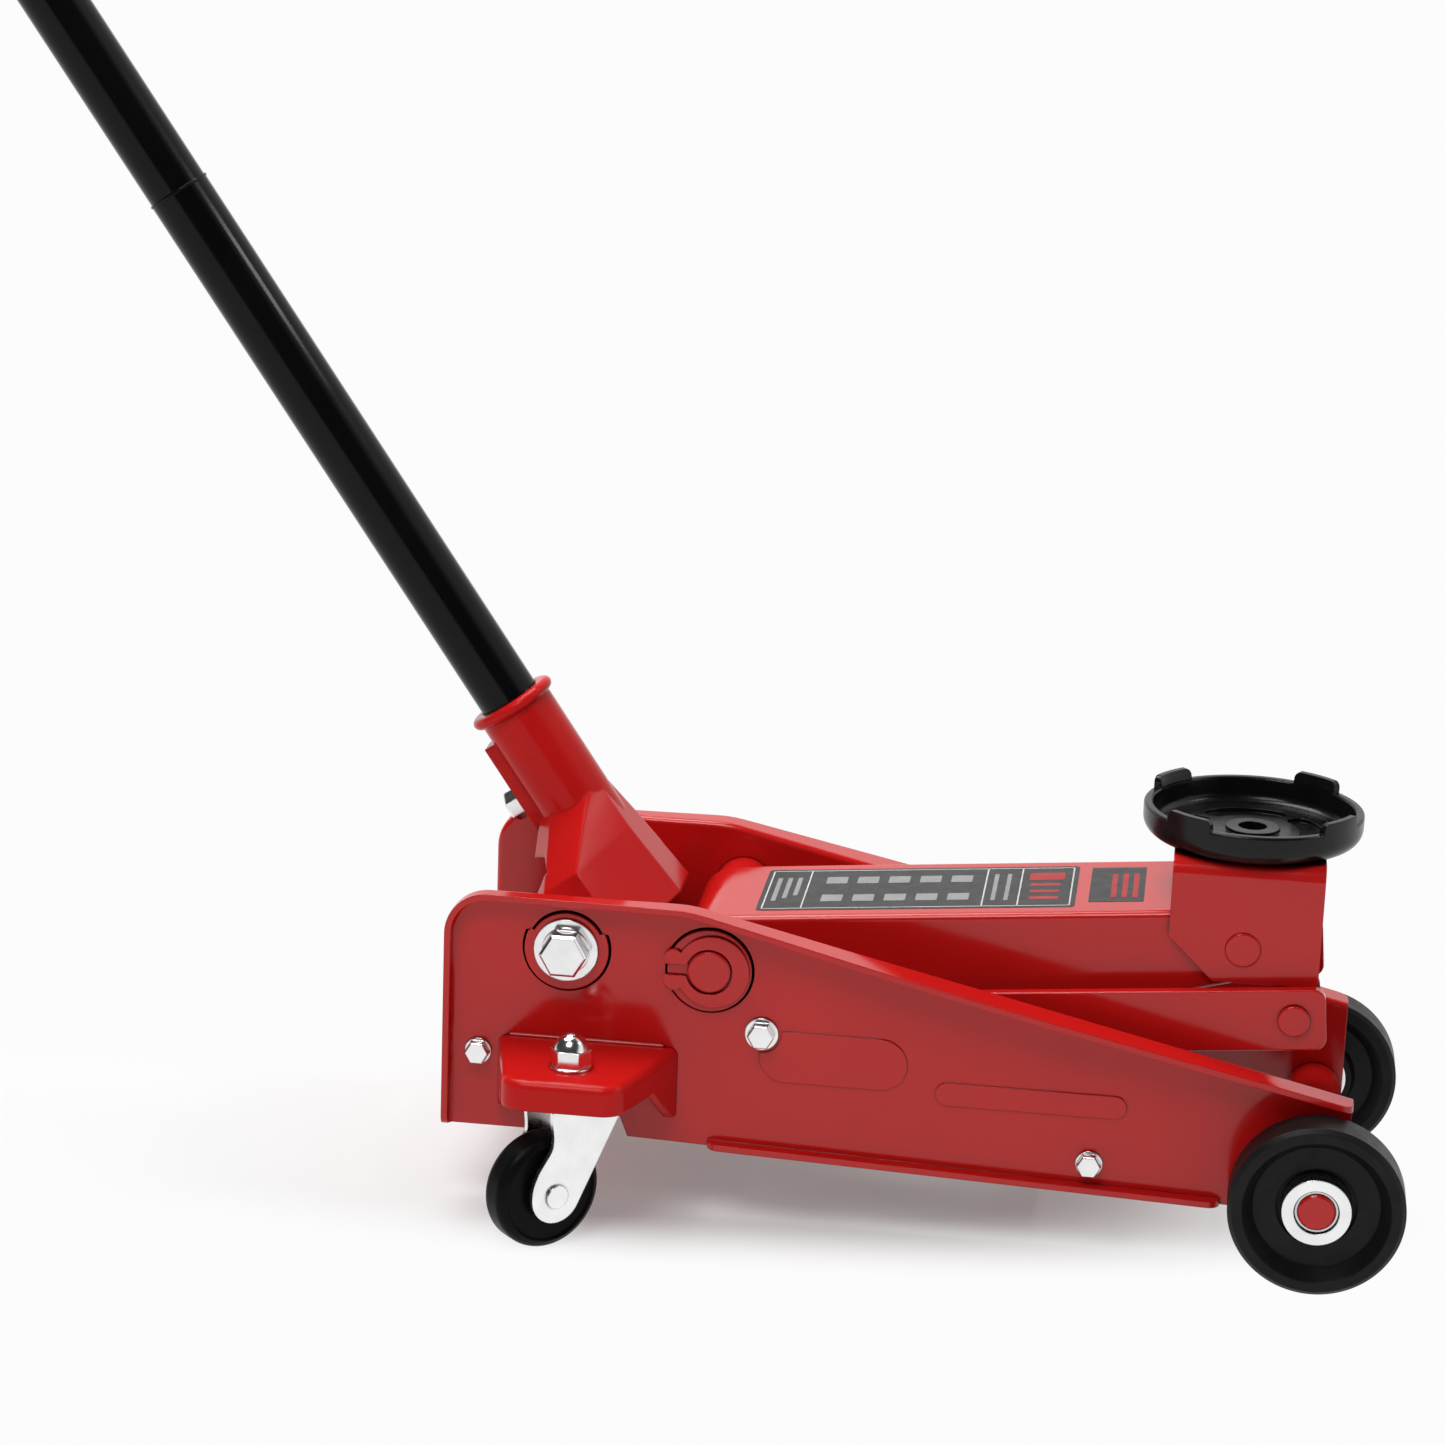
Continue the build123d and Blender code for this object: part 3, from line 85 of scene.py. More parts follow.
# Panel on the arm, in metres
ARM_TOP = 0.017  # from the line of the arm's pivots to its top face
FILM, INK = 0.00012, 0.00006
RULE, RULE_INSET = 0.0007, 0.0022
CROSS_RULES = (0.0205, 0.1045, 0.121)
SMALL_GAP = 0.006  # between the panel and the small one beside it
# Rows of marks: first station, step, count, length, low edge and high edge
GREY_MARKS = (
    (0.029, 0.0148, 5, 0.010, -0.0185, -0.0085),
    (0.029, 0.0148, 5, 0.010, 0.0085, 0.0185),
    (0.0055, 0.0, 1, 0.0022, -0.017, 0.018),
    (0.0103, 0.0, 1, 0.0022, -0.013, 0.018),
    (0.0151, 0.0, 1, 0.0022, -0.009, 0.018),
    (0.1085, 0.006, 2, 0.002, -0.02, 0.02),
)
RED_MARKS = (
    (0.126, 0.0, 1, 0.014, -0.019, -0.015),
    (0.126, 0.0, 1, 0.014, -0.009, -0.005),
    (0.126, 0.0, 1, 0.014, 0.001, 0.005),
    (0.125, 0.0, 1, 0.0165, 0.010, 0.021),
)
SMALL_PANEL = ((0.0, 0.0, 1, 0.0255, -0.024, 0.028),)
SMALL_STRIPES = ((0.010, 0.005, 3, 0.0025, -0.018, 0.018),)

# Studio
BACKDROP = (0.97, 0.97, 0.97)
ROOM = (0.05, 0.05, 0.05)  # dark side of the room, which only shiny faces see
ROOM_WAY = (0.6, 1, -0.9)  # points away from the dark side
ROOM_START, ROOM_END = -0.1, -0.45
FLOOR_HALF = 8
FLOOR_OVAL = (0.3, 1, 1)  # the floor's darker patch is longer than it is wide
SENSOR = 36
# Lamps: place, aim, width, height and share of the key light's power
LAMPS = {
    "key": ((-0.55, 0.45, 2.1), (0.05, 0.0, 0.1), 1.2, 1.2, 1.0),
    "front": ((-0.25, -1.2, 1.9), (0.05, 0.0, 0.1), 0.9, 0.9, 0.45),
    "right": ((1.45, 0.06, 1.5), (-0.1, 0.0, 0.3), 0.5, 0.1, 0.065),
}

FINISHES = {
    "black_paint": ("handle_lower_tube", "handle_upper_tube"),
    "saddle_black": ("saddle",),
    "wheel_black": ("front_wheel_left", "front_wheel_right"),
    "caster_black": ("caster_wheel_left", "caster_wheel_right"),
    "zinc": (
        "caster_fork_left", "caster_fork_right", "caster_axle_left", "caster_axle_right",
        "caster_races", "caster_kingpins", "wheel_bush_left", "wheel_bush_right",
        "link_pivot_nuts", "link_spacers",
        "axle_clips", "axle_spacers", "saddle_post_ring",
    ),
    "chrome": (
        "handle_pivot_bolts", "caster_dome_nuts", "handle_clamp_bolt", "frame_bolts",
        "link_pivot_bolts",
    ),
    "steel": (
        "ram", "pump_plunger", "pump_roller", "pump_roller_pin", "crank_roller", "arm_cross_pins",
        "release_valve", "handle_drive_dog", "pump_spring", "return_spring_left",
        "return_spring_right",
    ),
    "unit_black": ("pump_block", "reservoir", "ram_cylinder", "cylinder_head", "filler_plug"),
    "grip_rubber": ("handle_grip",),
    "red_plate": ("side_plate_left", "side_plate_right"),
    "red_cast": ("handle_socket", "caster_bracket_left", "caster_bracket_right"),
}


def paint_of(node):
    """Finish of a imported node, by its name."""
    for finish, names in FINISHES.items():
        if node in names:
            return finish
    return "red_paint"


def place_of(joint):
    """Point of a joint at rest."""
    return Vector(JOINTS[joint]["pos_m"])


class JackLooks(bpy.types.PropertyGroup):
    """Colours and fine sizes of the jack's finishes."""

    red: bpy.props.FloatVectorProperty(
        name="Red", description="Gloss paint on the chassis", subtype="COLOR", size=3,
        default=(0.55, 0.010, 0.009))
    black: bpy.props.FloatVectorProperty(
        name="Black", description="Gloss paint on the handle", subtype="COLOR", size=3,
        default=(0.003, 0.003, 0.0035))
    edge: bpy.props.FloatProperty(
        name="Edge", description="Radius that softens sharp edges", subtype="DISTANCE",
        default=0.0008)
    cast_edge: bpy.props.FloatProperty(
        name="Cast edge", description="Radius that softens the edges of castings",
        subtype="DISTANCE", default=0.002)


class JackFine(bpy.types.PropertyGroup):
    """Sizes of the fine pieces."""

    return_wire: bpy.props.FloatProperty(
        name="Return wire", description="Wire radius of the return springs", subtype="DISTANCE",
        default=0.0011)
    return_coil: bpy.props.FloatProperty(
        name="Return coil", description="Radius of the return springs' turns", subtype="DISTANCE",
        default=0.007)
    return_turns: bpy.props.IntProperty(
        name="Return turns", description="Whole turns of a return spring", default=24)
    return_pitch: bpy.props.FloatProperty(
        name="Return pitch", description="Rise of one turn at rest", subtype="DISTANCE",
        default=0.0025)
    pump_wire: bpy.props.FloatProperty(
        name="Pump wire", description="Wire radius of the pump spring", subtype="DISTANCE",
        default=0.0009)
    grip_length: bpy.props.FloatProperty(
        name="Grip length", description="Length of the handle's grip", subtype="DISTANCE",
        default=0.115)
    grip_ribs: bpy.props.IntProperty(
        name="Grip ribs", description="Rings moulded round the grip", default=15)
    tube_rim: bpy.props.FloatProperty(
        name="Tube rim", description="Height of the rim at the lower tube's end",
        subtype="DISTANCE", default=0.0006)
    panel_size: bpy.props.FloatVectorProperty(
        name="Panel size", description="Length and width of the blank panel on the arm",
        subtype="XYZ_LENGTH", size=2, default=(0.148, 0.062))
    panel_start: bpy.props.FloatProperty(
        name="Panel start", description="From the lift shaft to the panel", subtype="DISTANCE",
        default=0.0175)
    boss: bpy.props.FloatProperty(
        name="Ring", description="Radius of the embossed rings", subtype="DISTANCE", default=0.0195)
    boss_top: bpy.props.FloatProperty(
        name="Ring top", description="Radius of the pivot's ring above its ears",
        subtype="DISTANCE", default=0.0172)
    ear: bpy.props.FloatProperty(
        name="Ear", description="From the pivot up to its ring's ears", subtype="DISTANCE",
        default=0.008)
    # width of the dark bands of painted groove shade round the embossed rings
    groove: bpy.props.FloatProperty(
        name="Groove", description="Width of the painted shade in the grooves", subtype="DISTANCE", default=0.0012)
    plate: bpy.props.FloatProperty(
        name="Plate", description="Thickness of the side plates", subtype="DISTANCE", default=0.003)
    bead: bpy.props.FloatProperty(
        name="Bead", description="Radius of the weld beads", subtype="DISTANCE", default=0.0017)


class JackStudio(bpy.types.PropertyGroup):
    """Camera and light of the studio."""

    floor: bpy.props.FloatVectorProperty(
        name="Floor", description="Colour of the floor", subtype="COLOR", size=3,
        default=(0.80, 0.80, 0.80))
    target: bpy.props.FloatVectorProperty(
        name="Target", description="Point that the camera looks at", subtype="TRANSLATION",
        size=3, default=(0.07699, 0.0, 0.22122))
    distance: bpy.props.FloatProperty(
        name="Distance", description="From the target to the camera", subtype="DISTANCE",
        default=1.91728)
    azimuth: bpy.props.FloatProperty(
        name="Azimuth", description="Camera's turn towards the saddle", subtype="ANGLE",
        default=radians(6.79))
    elevation: bpy.props.FloatProperty(
        name="Elevation", description="Camera's height above the horizon", subtype="ANGLE",
        default=radians(15.91))
    roll: bpy.props.FloatProperty(
        name="Roll", description="Camera's turn about its own axis", subtype="ANGLE",
        default=radians(2.16))
    lens: bpy.props.FloatProperty(
        name="Lens", description="Focal length in millimetres", default=102.29)
    key: bpy.props.FloatProperty(
        name="Key", description="Power of the overhead light", subtype="POWER", default=38.0)
    fill: bpy.props.FloatProperty(
        name="Fill", description="Strength of the even light from all round", default=0.26)
    glow: bpy.props.FloatProperty(
        name="Glow", description="Share of plain white on the floor at the jack", subtype="FACTOR",
        default=0.2)
    glow_start: bpy.props.FloatProperty(
        name="Glow start", description="From the middle to where the floor grows whiter",
        subtype="DISTANCE", default=0.07)
    glow_end: bpy.props.FloatProperty(
        name="Glow end", description="From the middle to where the floor is plain white",
        subtype="DISTANCE", default=0.13)


class Nodes:
    """Builds one material's node tree."""

    def __init__(self, name):
        self.material = bpy.data.materials.new(f"look_{name}")
        self.material.use_nodes = True
        self.tree = self.material.node_tree
        self.shader = self.tree.nodes["Principled BSDF"]
        self.place = self.add("ShaderNodeTexCoord").outputs["Object"]

    def add(self, kind, **values):
        node = self.tree.nodes.new(kind)
        for key, value in values.items():
            setattr(node, key, value)
        return node

    def link(self, source, target):
        self.tree.links.new(source, target)

    def plain(self, **values):
        """Sets sockets that have the same value all over."""
        for key, value in values.items():
            self.shader.inputs[key.replace("_", " ")].default_value = value

    def noise(self, scale, detail=3.0):
        """Noise in the object's own metres."""
        texture = self.add("ShaderNodeTexNoise")
        texture.inputs["Scale"].default_value = scale
        texture.inputs["Detail"].default_value = detail
        self.link(self.place, texture.inputs["Vector"])
        return texture.outputs["Fac"]

    def vary(self, socket, source, low, high):
        """Drives a colour or number between two values."""
        ramp = self.add("ShaderNodeValToRGB")
        ramp.color_ramp.elements[0].position = 0.3
        ramp.color_ramp.elements[1].position = 0.7
        if isinstance(low, float):
            low, high = (low,) * 3, (high,) * 3
        ramp.color_ramp.elements[0].color = (*low, 1)
        ramp.color_ramp.elements[1].color = (*high, 1)
        self.link(source, ramp.inputs["Fac"])
        self.link(ramp.outputs["Color"], self.shader.inputs[socket])

    def shade(self, depth):
        """Paints shade into the base colour: ambient occlusion darkens the corners and joints where
        faces meet.
        """
        corner = self.add("ShaderNodeAmbientOcclusion", samples=8)
        corner.inputs["Distance"].default_value = depth
        ramp = self.add("ShaderNodeValToRGB")
        ramp.color_ramp.elements[0].position = 0.35
        ramp.color_ramp.elements[0].color = (0.1, 0.1, 0.1, 1)
        ramp.color_ramp.elements[1].position = 0.82
        mix = self.add("ShaderNodeMix", data_type="RGBA", blend_type="MULTIPLY")
        mix.inputs["Factor"].default_value = 1.0
        colour = self.shader.inputs["Base Color"]
        self.link(corner.outputs["AO"], ramp.inputs["Fac"])
        self.link(colour.links[0].from_socket, mix.inputs["A"])
        self.link(ramp.outputs["Color"], mix.inputs["B"])
        self.link(mix.outputs["Result"], colour)

    def surface(self, source, distance, strength, edge):
        """Bump from a height, on edges softened by a small radius."""
        soft = self.add("ShaderNodeBevel", samples=6)
        soft.inputs["Radius"].default_value = edge
        bump = self.add("ShaderNodeBump")
        bump.inputs["Distance"].default_value = distance
        bump.inputs["Strength"].default_value = strength
        self.link(source, bump.inputs["Height"])
        self.link(soft.outputs["Normal"], bump.inputs["Normal"])
        self.link(bump.outputs["Normal"], self.shader.inputs["Normal"])


def look_of(finish):
    """Material made for a finish."""
    return bpy.data.materials[f"look_{finish}"]


def scaled(colour, factor):
    """A colour made lighter or darker."""
    return tuple(c * factor for c in colour)


def grey(level):
    """A colour without hue."""
    return (level, level, level)


class Finish(NamedTuple):
    """Numbers of one finish. A noise has its scale and its detail."""

    dark: tuple
    pale: tuple
    tone: tuple  # noise between dark and pale
    rough: tuple  # least and most roughness
    wear: tuple  # noise between them
    grain: tuple = None  # noise of the bumps
    height: float = 0.0002
    strength: float = 0.08
    gloss: float = 0.5
    metal: float = 0.0
    corner: float = 0.0  # depth of the painted shade that darkens corners and joints
    edge: float = None  # radius of softened edges, where it isn't the common one


def film(colour, rough):
    """Finish of a flat printed film."""
    return Finish(
        dark=scaled(colour, 0.9), pale=scaled(colour, 1.08), tone=(90, 3),
        rough=(rough - 0.04, rough + 0.06), wear=(160, 3), gloss=0.15)


def finish_table(looks):
    """Every finish by its name."""
    red = {
        "dark": scaled(looks.red, 0.95), "pale": scaled(looks.red, 1.04), "tone": (14, 4),
        "rough": (0.1, 0.16), "wear": (60, 3), "grain": (160, 1), "strength": 0.02,
    }
    return {
        # corner: depth of the painted shade that ambient occlusion puts in corners and joints
        "red_paint": Finish(**red, gloss=0.42, corner=0.004),
        "red_plate": Finish(**red, gloss=0.42, corner=0.0012),
        "red_cast": Finish(**red, gloss=0.12, corner=0.004, edge=looks.cast_edge),
        "black_paint": Finish(
            dark=scaled(looks.black, 0.85), pale=scaled(looks.black, 1.2), tone=(20, 3),
            rough=(0.1, 0.15), wear=(70, 3), grain=(160, 1), strength=0.01, gloss=0.15),
        "saddle_black": Finish(
            dark=grey(0.003), pale=grey(0.006), tone=(45, 4), rough=(0.2, 0.28), wear=(160, 3),
            grain=(700, 4), height=0.0003, strength=0.12, gloss=0.25),
        "wheel_black": Finish(
            dark=grey(0.004), pale=grey(0.008), tone=(60, 4), rough=(0.38, 0.5), wear=(200, 3),
            grain=(900, 4), height=0.0003, strength=0.14, gloss=0.2),
        "caster_black": Finish(
            dark=grey(0.003), pale=grey(0.006), tone=(60, 4), rough=(0.3, 0.4), wear=(200, 3),
            grain=(900, 3), gloss=0.07),
        # corner: painted shade in the zinc pieces' corners and contact lines
        "zinc": Finish(
            dark=(0.84, 0.85, 0.85), pale=(0.95, 0.95, 0.94), tone=(120, 4), rough=(0.2, 0.3),
            wear=(240, 3), grain=(800, 3), metal=1.0, corner=0.0025),
        "chrome": Finish(
            dark=(0.80, 0.80, 0.81), pale=(0.88, 0.88, 0.87), tone=(90, 3), rough=(0.12, 0.2),
            wear=(300, 3), grain=(900, 2), height=0.0001, strength=0.05, metal=1.0),
        "steel": Finish(
            dark=(0.28, 0.28, 0.29), pale=(0.40, 0.40, 0.40), tone=(150, 4), rough=(0.25, 0.42),
            wear=(400, 2), grain=(1200, 2), height=0.0001, metal=1.0),
        "unit_black": Finish(
            dark=(0.016, 0.016, 0.017), pale=(0.03, 0.03, 0.031), tone=(50, 4), rough=(0.4, 0.55),
            wear=(200, 3), grain=(500, 4), height=0.0004, strength=0.15),
        "grip_rubber": Finish(
            dark=grey(0.012), pale=grey(0.02), tone=(80, 4), rough=(0.62, 0.78), wear=(300, 3),
            grain=(1500, 3), height=0.0003, strength=0.2),
        "panel_dark": film((0.022, 0.022, 0.024), 0.3),
        "panel_pale": film((0.62, 0.62, 0.60), 0.4),
        "panel_grey": film((0.30, 0.30, 0.30), 0.4),
        "panel_red": film((0.42, 0.03, 0.03), 0.4),
        # painted shade: dark red for the bands laid round the embossed rings where their grooves
        # throw shade
        "painted_groove_shade": film((0.06, 0.004, 0.004), 0.5),
    }


def make_finishes(looks):
    """One material for each finish."""
    for name, finish in finish_table(looks).items():
        look = Nodes(name)
        look.plain(Specular_IOR_Level=finish.gloss, Metallic=finish.metal)
        look.vary("Base Color", look.noise(*finish.tone), finish.dark, finish.pale)
        # painted shade: ambient occlusion darkens the base colour in corners and joints
        if finish.corner:
            look.shade(finish.corner)
        look.vary("Roughness", look.noise(*finish.wear), *finish.rough)
        if finish.grain:
            edge = finish.edge or looks.edge
            look.surface(look.noise(*finish.grain), finish.height, finish.strength, edge)


class JACK_OT_finishes(bpy.types.Operator):
    """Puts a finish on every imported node"""

    bl_idname = "jack.finishes"
    bl_label = "Finishes"

    def execute(self, context):
        make_finishes(context.scene.jack_looks)
        for name, node in NODES.items():
            node.data.materials.clear()
            node.data.materials.append(look_of(paint_of(name)))
        return {"FINISHED"}


class Wire:
    """A round wire, drawn by moving its end ring."""

    def __init__(self, start, way, radius, sides=10):
        self.bm = bmesh.new()
        turn = way.to_track_quat("Z", "Y").to_matrix().to_4x4()
        ring = bmesh.ops.create_circle(
            self.bm, cap_ends=True, segments=sides, radius=radius,
            matrix=Matrix.Translation(start) @ turn)
        self.edges = list({edge for vert in ring["verts"] for edge in vert.link_edges})

    def keep(self, geometry):
        """Takes the new end ring from what an operator made."""
        self.edges = [item for item in geometry if isinstance(item, bmesh.types.BMEdge)]

    def run(self, step):
        """Draws the wire straight on."""
        made = bmesh.ops.extrude_edge_only(self.bm, edges=self.edges)["geom"]
        moved = [item for item in made if isinstance(item, bmesh.types.BMVert)]
        bmesh.ops.translate(self.bm, verts=moved, vec=step)
        ring = self.ends(moved)
        self.keep([edge for edge in made if edge in ring])

    def ends(self, verts):
        """Edges whose two ends are among some vertices."""
        chosen = set(verts)
        return {edge for vert in verts for edge in vert.link_edges if chosen.issuperset(edge.verts)}

    def bend(self, centre, axis, angle, steps, rise=0.0):
        """Draws the wire round an axis, climbing along it where asked."""
        made = bmesh.ops.spin(
            self.bm, geom=self.edges, cent=centre, axis=axis, angle=angle, steps=steps,
            dvec=axis * (rise / steps), use_merge=False, use_duplicate=False)
        self.keep(made["geom_last"])

    def close(self):
        """Caps the end ring."""
        bmesh.ops.contextual_create(self.bm, geom=self.edges)
        return self.bm


def make_piece(bm, name, finish, body=None, crease=40.0):
    """Turns a bmesh into a finished piece that rides on a body."""
    bmesh.ops.remove_doubles(bm, verts=bm.verts, dist=1e-6)
    bmesh.ops.recalc_face_normals(bm, faces=bm.faces)
    for face in bm.faces:
        face.smooth = True
    mesh = bpy.data.meshes.new(name)
    bm.to_mesh(mesh)
    bm.free()
    mesh.set_sharp_from_angle(angle=radians(crease))
    mesh.materials.append(look_of(finish))
    piece = bpy.data.objects.new(name, mesh)
    bpy.context.scene.collection.objects.link(piece)
    if body:
        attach(piece, body)
    return piece


class JACK_OT_return_springs(bpy.types.Operator):
    """Winds the two springs that pull the arm down, with a hook at each end"""

    bl_idname = "jack.return_springs"
    bl_label = "Return springs"

    def execute(self, context):
        fine = context.scene.jack_fine
        for side in ("left", "right"):
            node = f"return_spring_{side}"
            low, high = (Vector(corner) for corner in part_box(node))
            bar_low, bar_high = (Vector(corner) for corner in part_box("front_spacer_bar"))
            pin_high = Vector(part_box("arm_cross_pins")[1])
            y = (low.y + high.y) / 2
            bar_r = (bar_high.z - bar_low.z) / 2
            bar = (bar_low + bar_high) / 2
            bar.y = y
            pin = Vector((pin_high.x - SPRING_PIN_R, y, pin_high.z - SPRING_PIN_R))
            spring = make_piece(self.wind(fine, bar, bar_r, pin), f"{node}_coil", "steel")
            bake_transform(spring)
            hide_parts(node)
        return {"FINISHED"}

    def wind(self, fine, bar, bar_r, pin):
        """Draws one spring from its hook on the bar to its hook on the pin."""
        way = (pin - bar).normalized()
        out = LATERAL.cross(way)
        wire_r, coil_r = fine.return_wire, fine.return_coil
        hooks = []
        for radius in (bar_r, SPRING_PIN_R):
            ring = radius + wire_r + HOOK_GAP
            reach = (ring**2 + 2 * HOOK_BEND * ring) ** 0.5
            hooks.append((ring, reach, atan2(HOOK_BEND, reach)))
        (bar_ring, bar_reach, bar_lift), (_, pin_reach, pin_lift) = hooks
        free = bar_lift + HOOK_WRAP
        start = bar + (way * cos(free) + out * sin(free)) * bar_ring
        wire = Wire(start, way * sin(free) - out * cos(free), wire_r)
        wire.bend(bar, LATERAL, HOOK_WRAP, 28)
        wire.bend(bar + way * bar_reach + out * HOOK_BEND, LATERAL, bar_lift - pi / 2, 10)
        turns = fine.return_turns + 0.5
        rise = fine.return_pitch * turns
        length = (pin - bar).length - bar_reach - pin_reach
        lead = (length - rise - 2 * COIL_CORNER) / 2
        wire.run(way * lead)
        place = bar + way * (bar_reach + lead) - LATERAL * COIL_CORNER
        wire.bend(place, out, pi / 2, 6)
        centre = place + way * COIL_CORNER
        wire.bend(centre + out * coil_r / 2, way, pi, 12)
        wire.bend(centre, way, 2 * pi * turns, int(24 * turns), rise)
        centre += way * rise
        wire.bend(centre - out * coil_r / 2, way, pi, 12)
        wire.bend(centre + way * COIL_CORNER, out, pi / 2, 6)
        wire.run(way * lead)
        wire.bend(pin - way * pin_reach - out * HOOK_BEND, LATERAL, pin_lift - pi / 2, 10)
        wire.bend(pin, LATERAL, HOOK_WRAP, 28)
        return wire.close()


class JACK_OT_pump_spring(bpy.types.Operator):
    """Winds the spring that lifts the pump's plunger"""

    bl_idname = "jack.pump_spring"
    bl_label = "Pump spring"

    def execute(self, context):
        fine = context.scene.jack_fine
        low, high = (Vector(corner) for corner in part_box("pump_spring"))
        radius = (high.y - low.y) / 2 - fine.pump_wire
        centre = (low + high) / 2
        start = Vector((centre.x + radius, centre.y, low.z + fine.pump_wire))
        wire = Wire(start, LATERAL.copy(), fine.pump_wire)
        closed = 2.1 * fine.pump_wire
        open_rise = high.z - low.z - 2 * fine.pump_wire - 2 * closed
        for turns, rise in ((1, closed), (5, open_rise), (1, closed)):
            wire.bend(centre, UP, 2 * pi * turns, 28 * turns, rise)
        spring = make_piece(wire.close(), "pump_spring_coil", "steel", "frame")
        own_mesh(spring)
        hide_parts("pump_spring")
        return {"FINISHED"}


def turned(outline, place, way, steps=56):
    """Spins an outline of radii and heights round a line."""
    bm = bmesh.new()
    chain = [bm.verts.new((r, 0, s)) for r, s in outline]
    edges = [bm.edges.new(pair) for pair in zip(chain, chain[1:])]
    bmesh.ops.spin(
        bm, geom=chain + edges, cent=(0, 0, 0), axis=(0, 0, 1), angle=2 * pi, steps=steps,
        use_merge=True, use_duplicate=False)
    turn = way.to_track_quat("Z", "Y").to_matrix().to_4x4()
    bmesh.ops.transform(bm, matrix=Matrix.Translation(place) @ turn, verts=bm.verts)
    return bm


def handle_end(node):
    """Far end of a round piece on the handle, the handle's way and the piece's radius."""
    way = Vector(JOINTS["handle_twist"]["axis"])
    low, high = (Vector(corner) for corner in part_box(node))
    radius = (high.y - low.y) / 2
    foot = place_of("handle_twist")
    reach = (high.z - foot.z - radius * abs(way.x)) / way.z
    return foot + way * reach, way, radius


class JACK_OT_tube_rim(bpy.types.Operator):
    """Rolls the rim at the end of the handle's lower tube"""

    bl_idname = "jack.tube_rim"
    bl_label = "Tube rim"

    def execute(self, context):
        roll = context.scene.jack_fine.tube_rim
        end, way, radius = handle_end("handle_lower_tube")
        outline = [(radius, -2.4 * roll), (radius + 0.7 * roll, -2 * roll)]
        outline += [(radius + roll, -roll), (radius + 0.7 * roll, 0), (radius, 0.4 * roll)]
        outline += [(radius - roll, -roll), (radius, -2.4 * roll)]
        rim = make_piece(turned(outline, end, way), "lower_tube_rim", "black_paint", "handle")
        return {"FINISHED"}


class JACK_OT_grip(bpy.types.Operator):
    """Moulds the ribbed grip on the end of the handle"""

    bl_idname = "jack.grip"
    bl_label = "Handle grip"

    def execute(self, context):
        fine = context.scene.jack_fine
        end, way, radius = handle_end("handle_grip")
        wall, depth, chamfer, rim = 0.0024, 0.0011, 0.0008, 0.003
        groove = radius - depth
        pitch = (fine.grip_length - 4 * rim) / fine.grip_ribs
        outline = [(radius - wall, 0), (radius - chamfer, 0), (radius, chamfer), (radius, 2 * rim)]
        for rib in range(fine.grip_ribs):
            start = 2 * rim + rib * pitch
            outline += [(groove, start + 0.2 * pitch), (groove, start + 0.45 * pitch)]
            outline += [(radius, start + 0.65 * pitch), (radius, start + pitch)]
        top = fine.grip_length
        outline += [(radius, top - rim), (radius - 0.3 * rim, top - 0.3 * rim)]
        outline += [(radius - rim, top), (0, top)]
        bm = turned(outline, end - way * top, way)
        grip = make_piece(bm, "ribbed_grip", "grip_rubber", "handle")
        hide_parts("handle_grip")
        return {"FINISHED"}


class JACK_OT_panel(bpy.types.Operator):
    """Lays the blank dark panel, its rules and plain blocks on the arm"""

    bl_idname = "jack.panel"
    bl_label = "Arm panel"

    def execute(self, context):
        fine = context.scene.jack_fine
        shaft, tip = place_of("lift_arm_raise"), place_of("saddle_level")
        along = (tip - shaft).normalized()
        up = along.cross(LATERAL)
        self.arm = Matrix((along, LATERAL, up)).transposed().to_4x4()
        self.arm.translation = shaft + up * ARM_TOP
        length, width = fine.panel_size
        start = fine.panel_start
        whole = [(start, -width / 2, start + length, width / 2)]
        small = start + length + SMALL_GAP
        self.patch("panel_film", "panel_dark", whole, 0, FILM, 0.0025)
        self.patch("panel_rules", "panel_pale", self.rules(start, length, width), FILM, INK, 0)
        self.patch("panel_blocks", "panel_grey", self.marks(start, GREY_MARKS), FILM, INK, 0.0006)
        self.patch("panel_bars", "panel_red", self.marks(start, RED_MARKS), FILM, INK, 0.0012)
        self.patch("small_panel", "panel_dark", self.marks(small, SMALL_PANEL), 0, FILM, 0.0006)
        stripes = self.marks(small, SMALL_STRIPES)
        self.patch("small_panel_stripes", "panel_red", stripes, FILM, INK, 0.0004)
        return {"FINISHED"}

    def rules(self, start, length, width):
        """Thin lines round the panel and across it."""
        left, right = start + RULE_INSET, start + length - RULE_INSET
        half = width / 2 - RULE_INSET
        areas = [(left, -half, right, RULE - half), (left, half - RULE, right, half)]
        for x in (left, *(start + station for station in CROSS_RULES), right - RULE):
            areas.append((x, -half, x + RULE, half))
        return areas

    def marks(self, start, rows):
        """Areas of the marks in some rows."""
        areas = []
        for first, step, count, length, low, high in rows:
            for k in range(count):
                x = start + first + step * k
                areas.append((x, low, x + length, high))
        return areas

    def patch(self, name, finish, areas, base, thickness, corner):
        """Flat pieces on the arm's top, with rounded corners where asked."""
        bm = bmesh.new()
        for x0, y0, x1, y1 in areas:
            size = Matrix.Diagonal(((x1 - x0) / 2, (y1 - y0) / 2, 1, 1))
            middle = Matrix.Translation(((x0 + x1) / 2, (y0 + y1) / 2, base))
            bmesh.ops.create_grid(bm, x_segments=1, y_segments=1, size=1, matrix=middle @ size)
        if corner:
            bmesh.ops.bevel(
                bm, geom=bm.verts[:], offset=corner, affect="VERTICES", segments=5, profile=0.5,
                material=-1)
        bmesh.ops.solidify(bm, geom=bm.faces[:], thickness=-thickness)
        bmesh.ops.transform(bm, matrix=self.arm, verts=bm.verts)
        piece = make_piece(bm, name, finish, "lift_arm")
        return piece


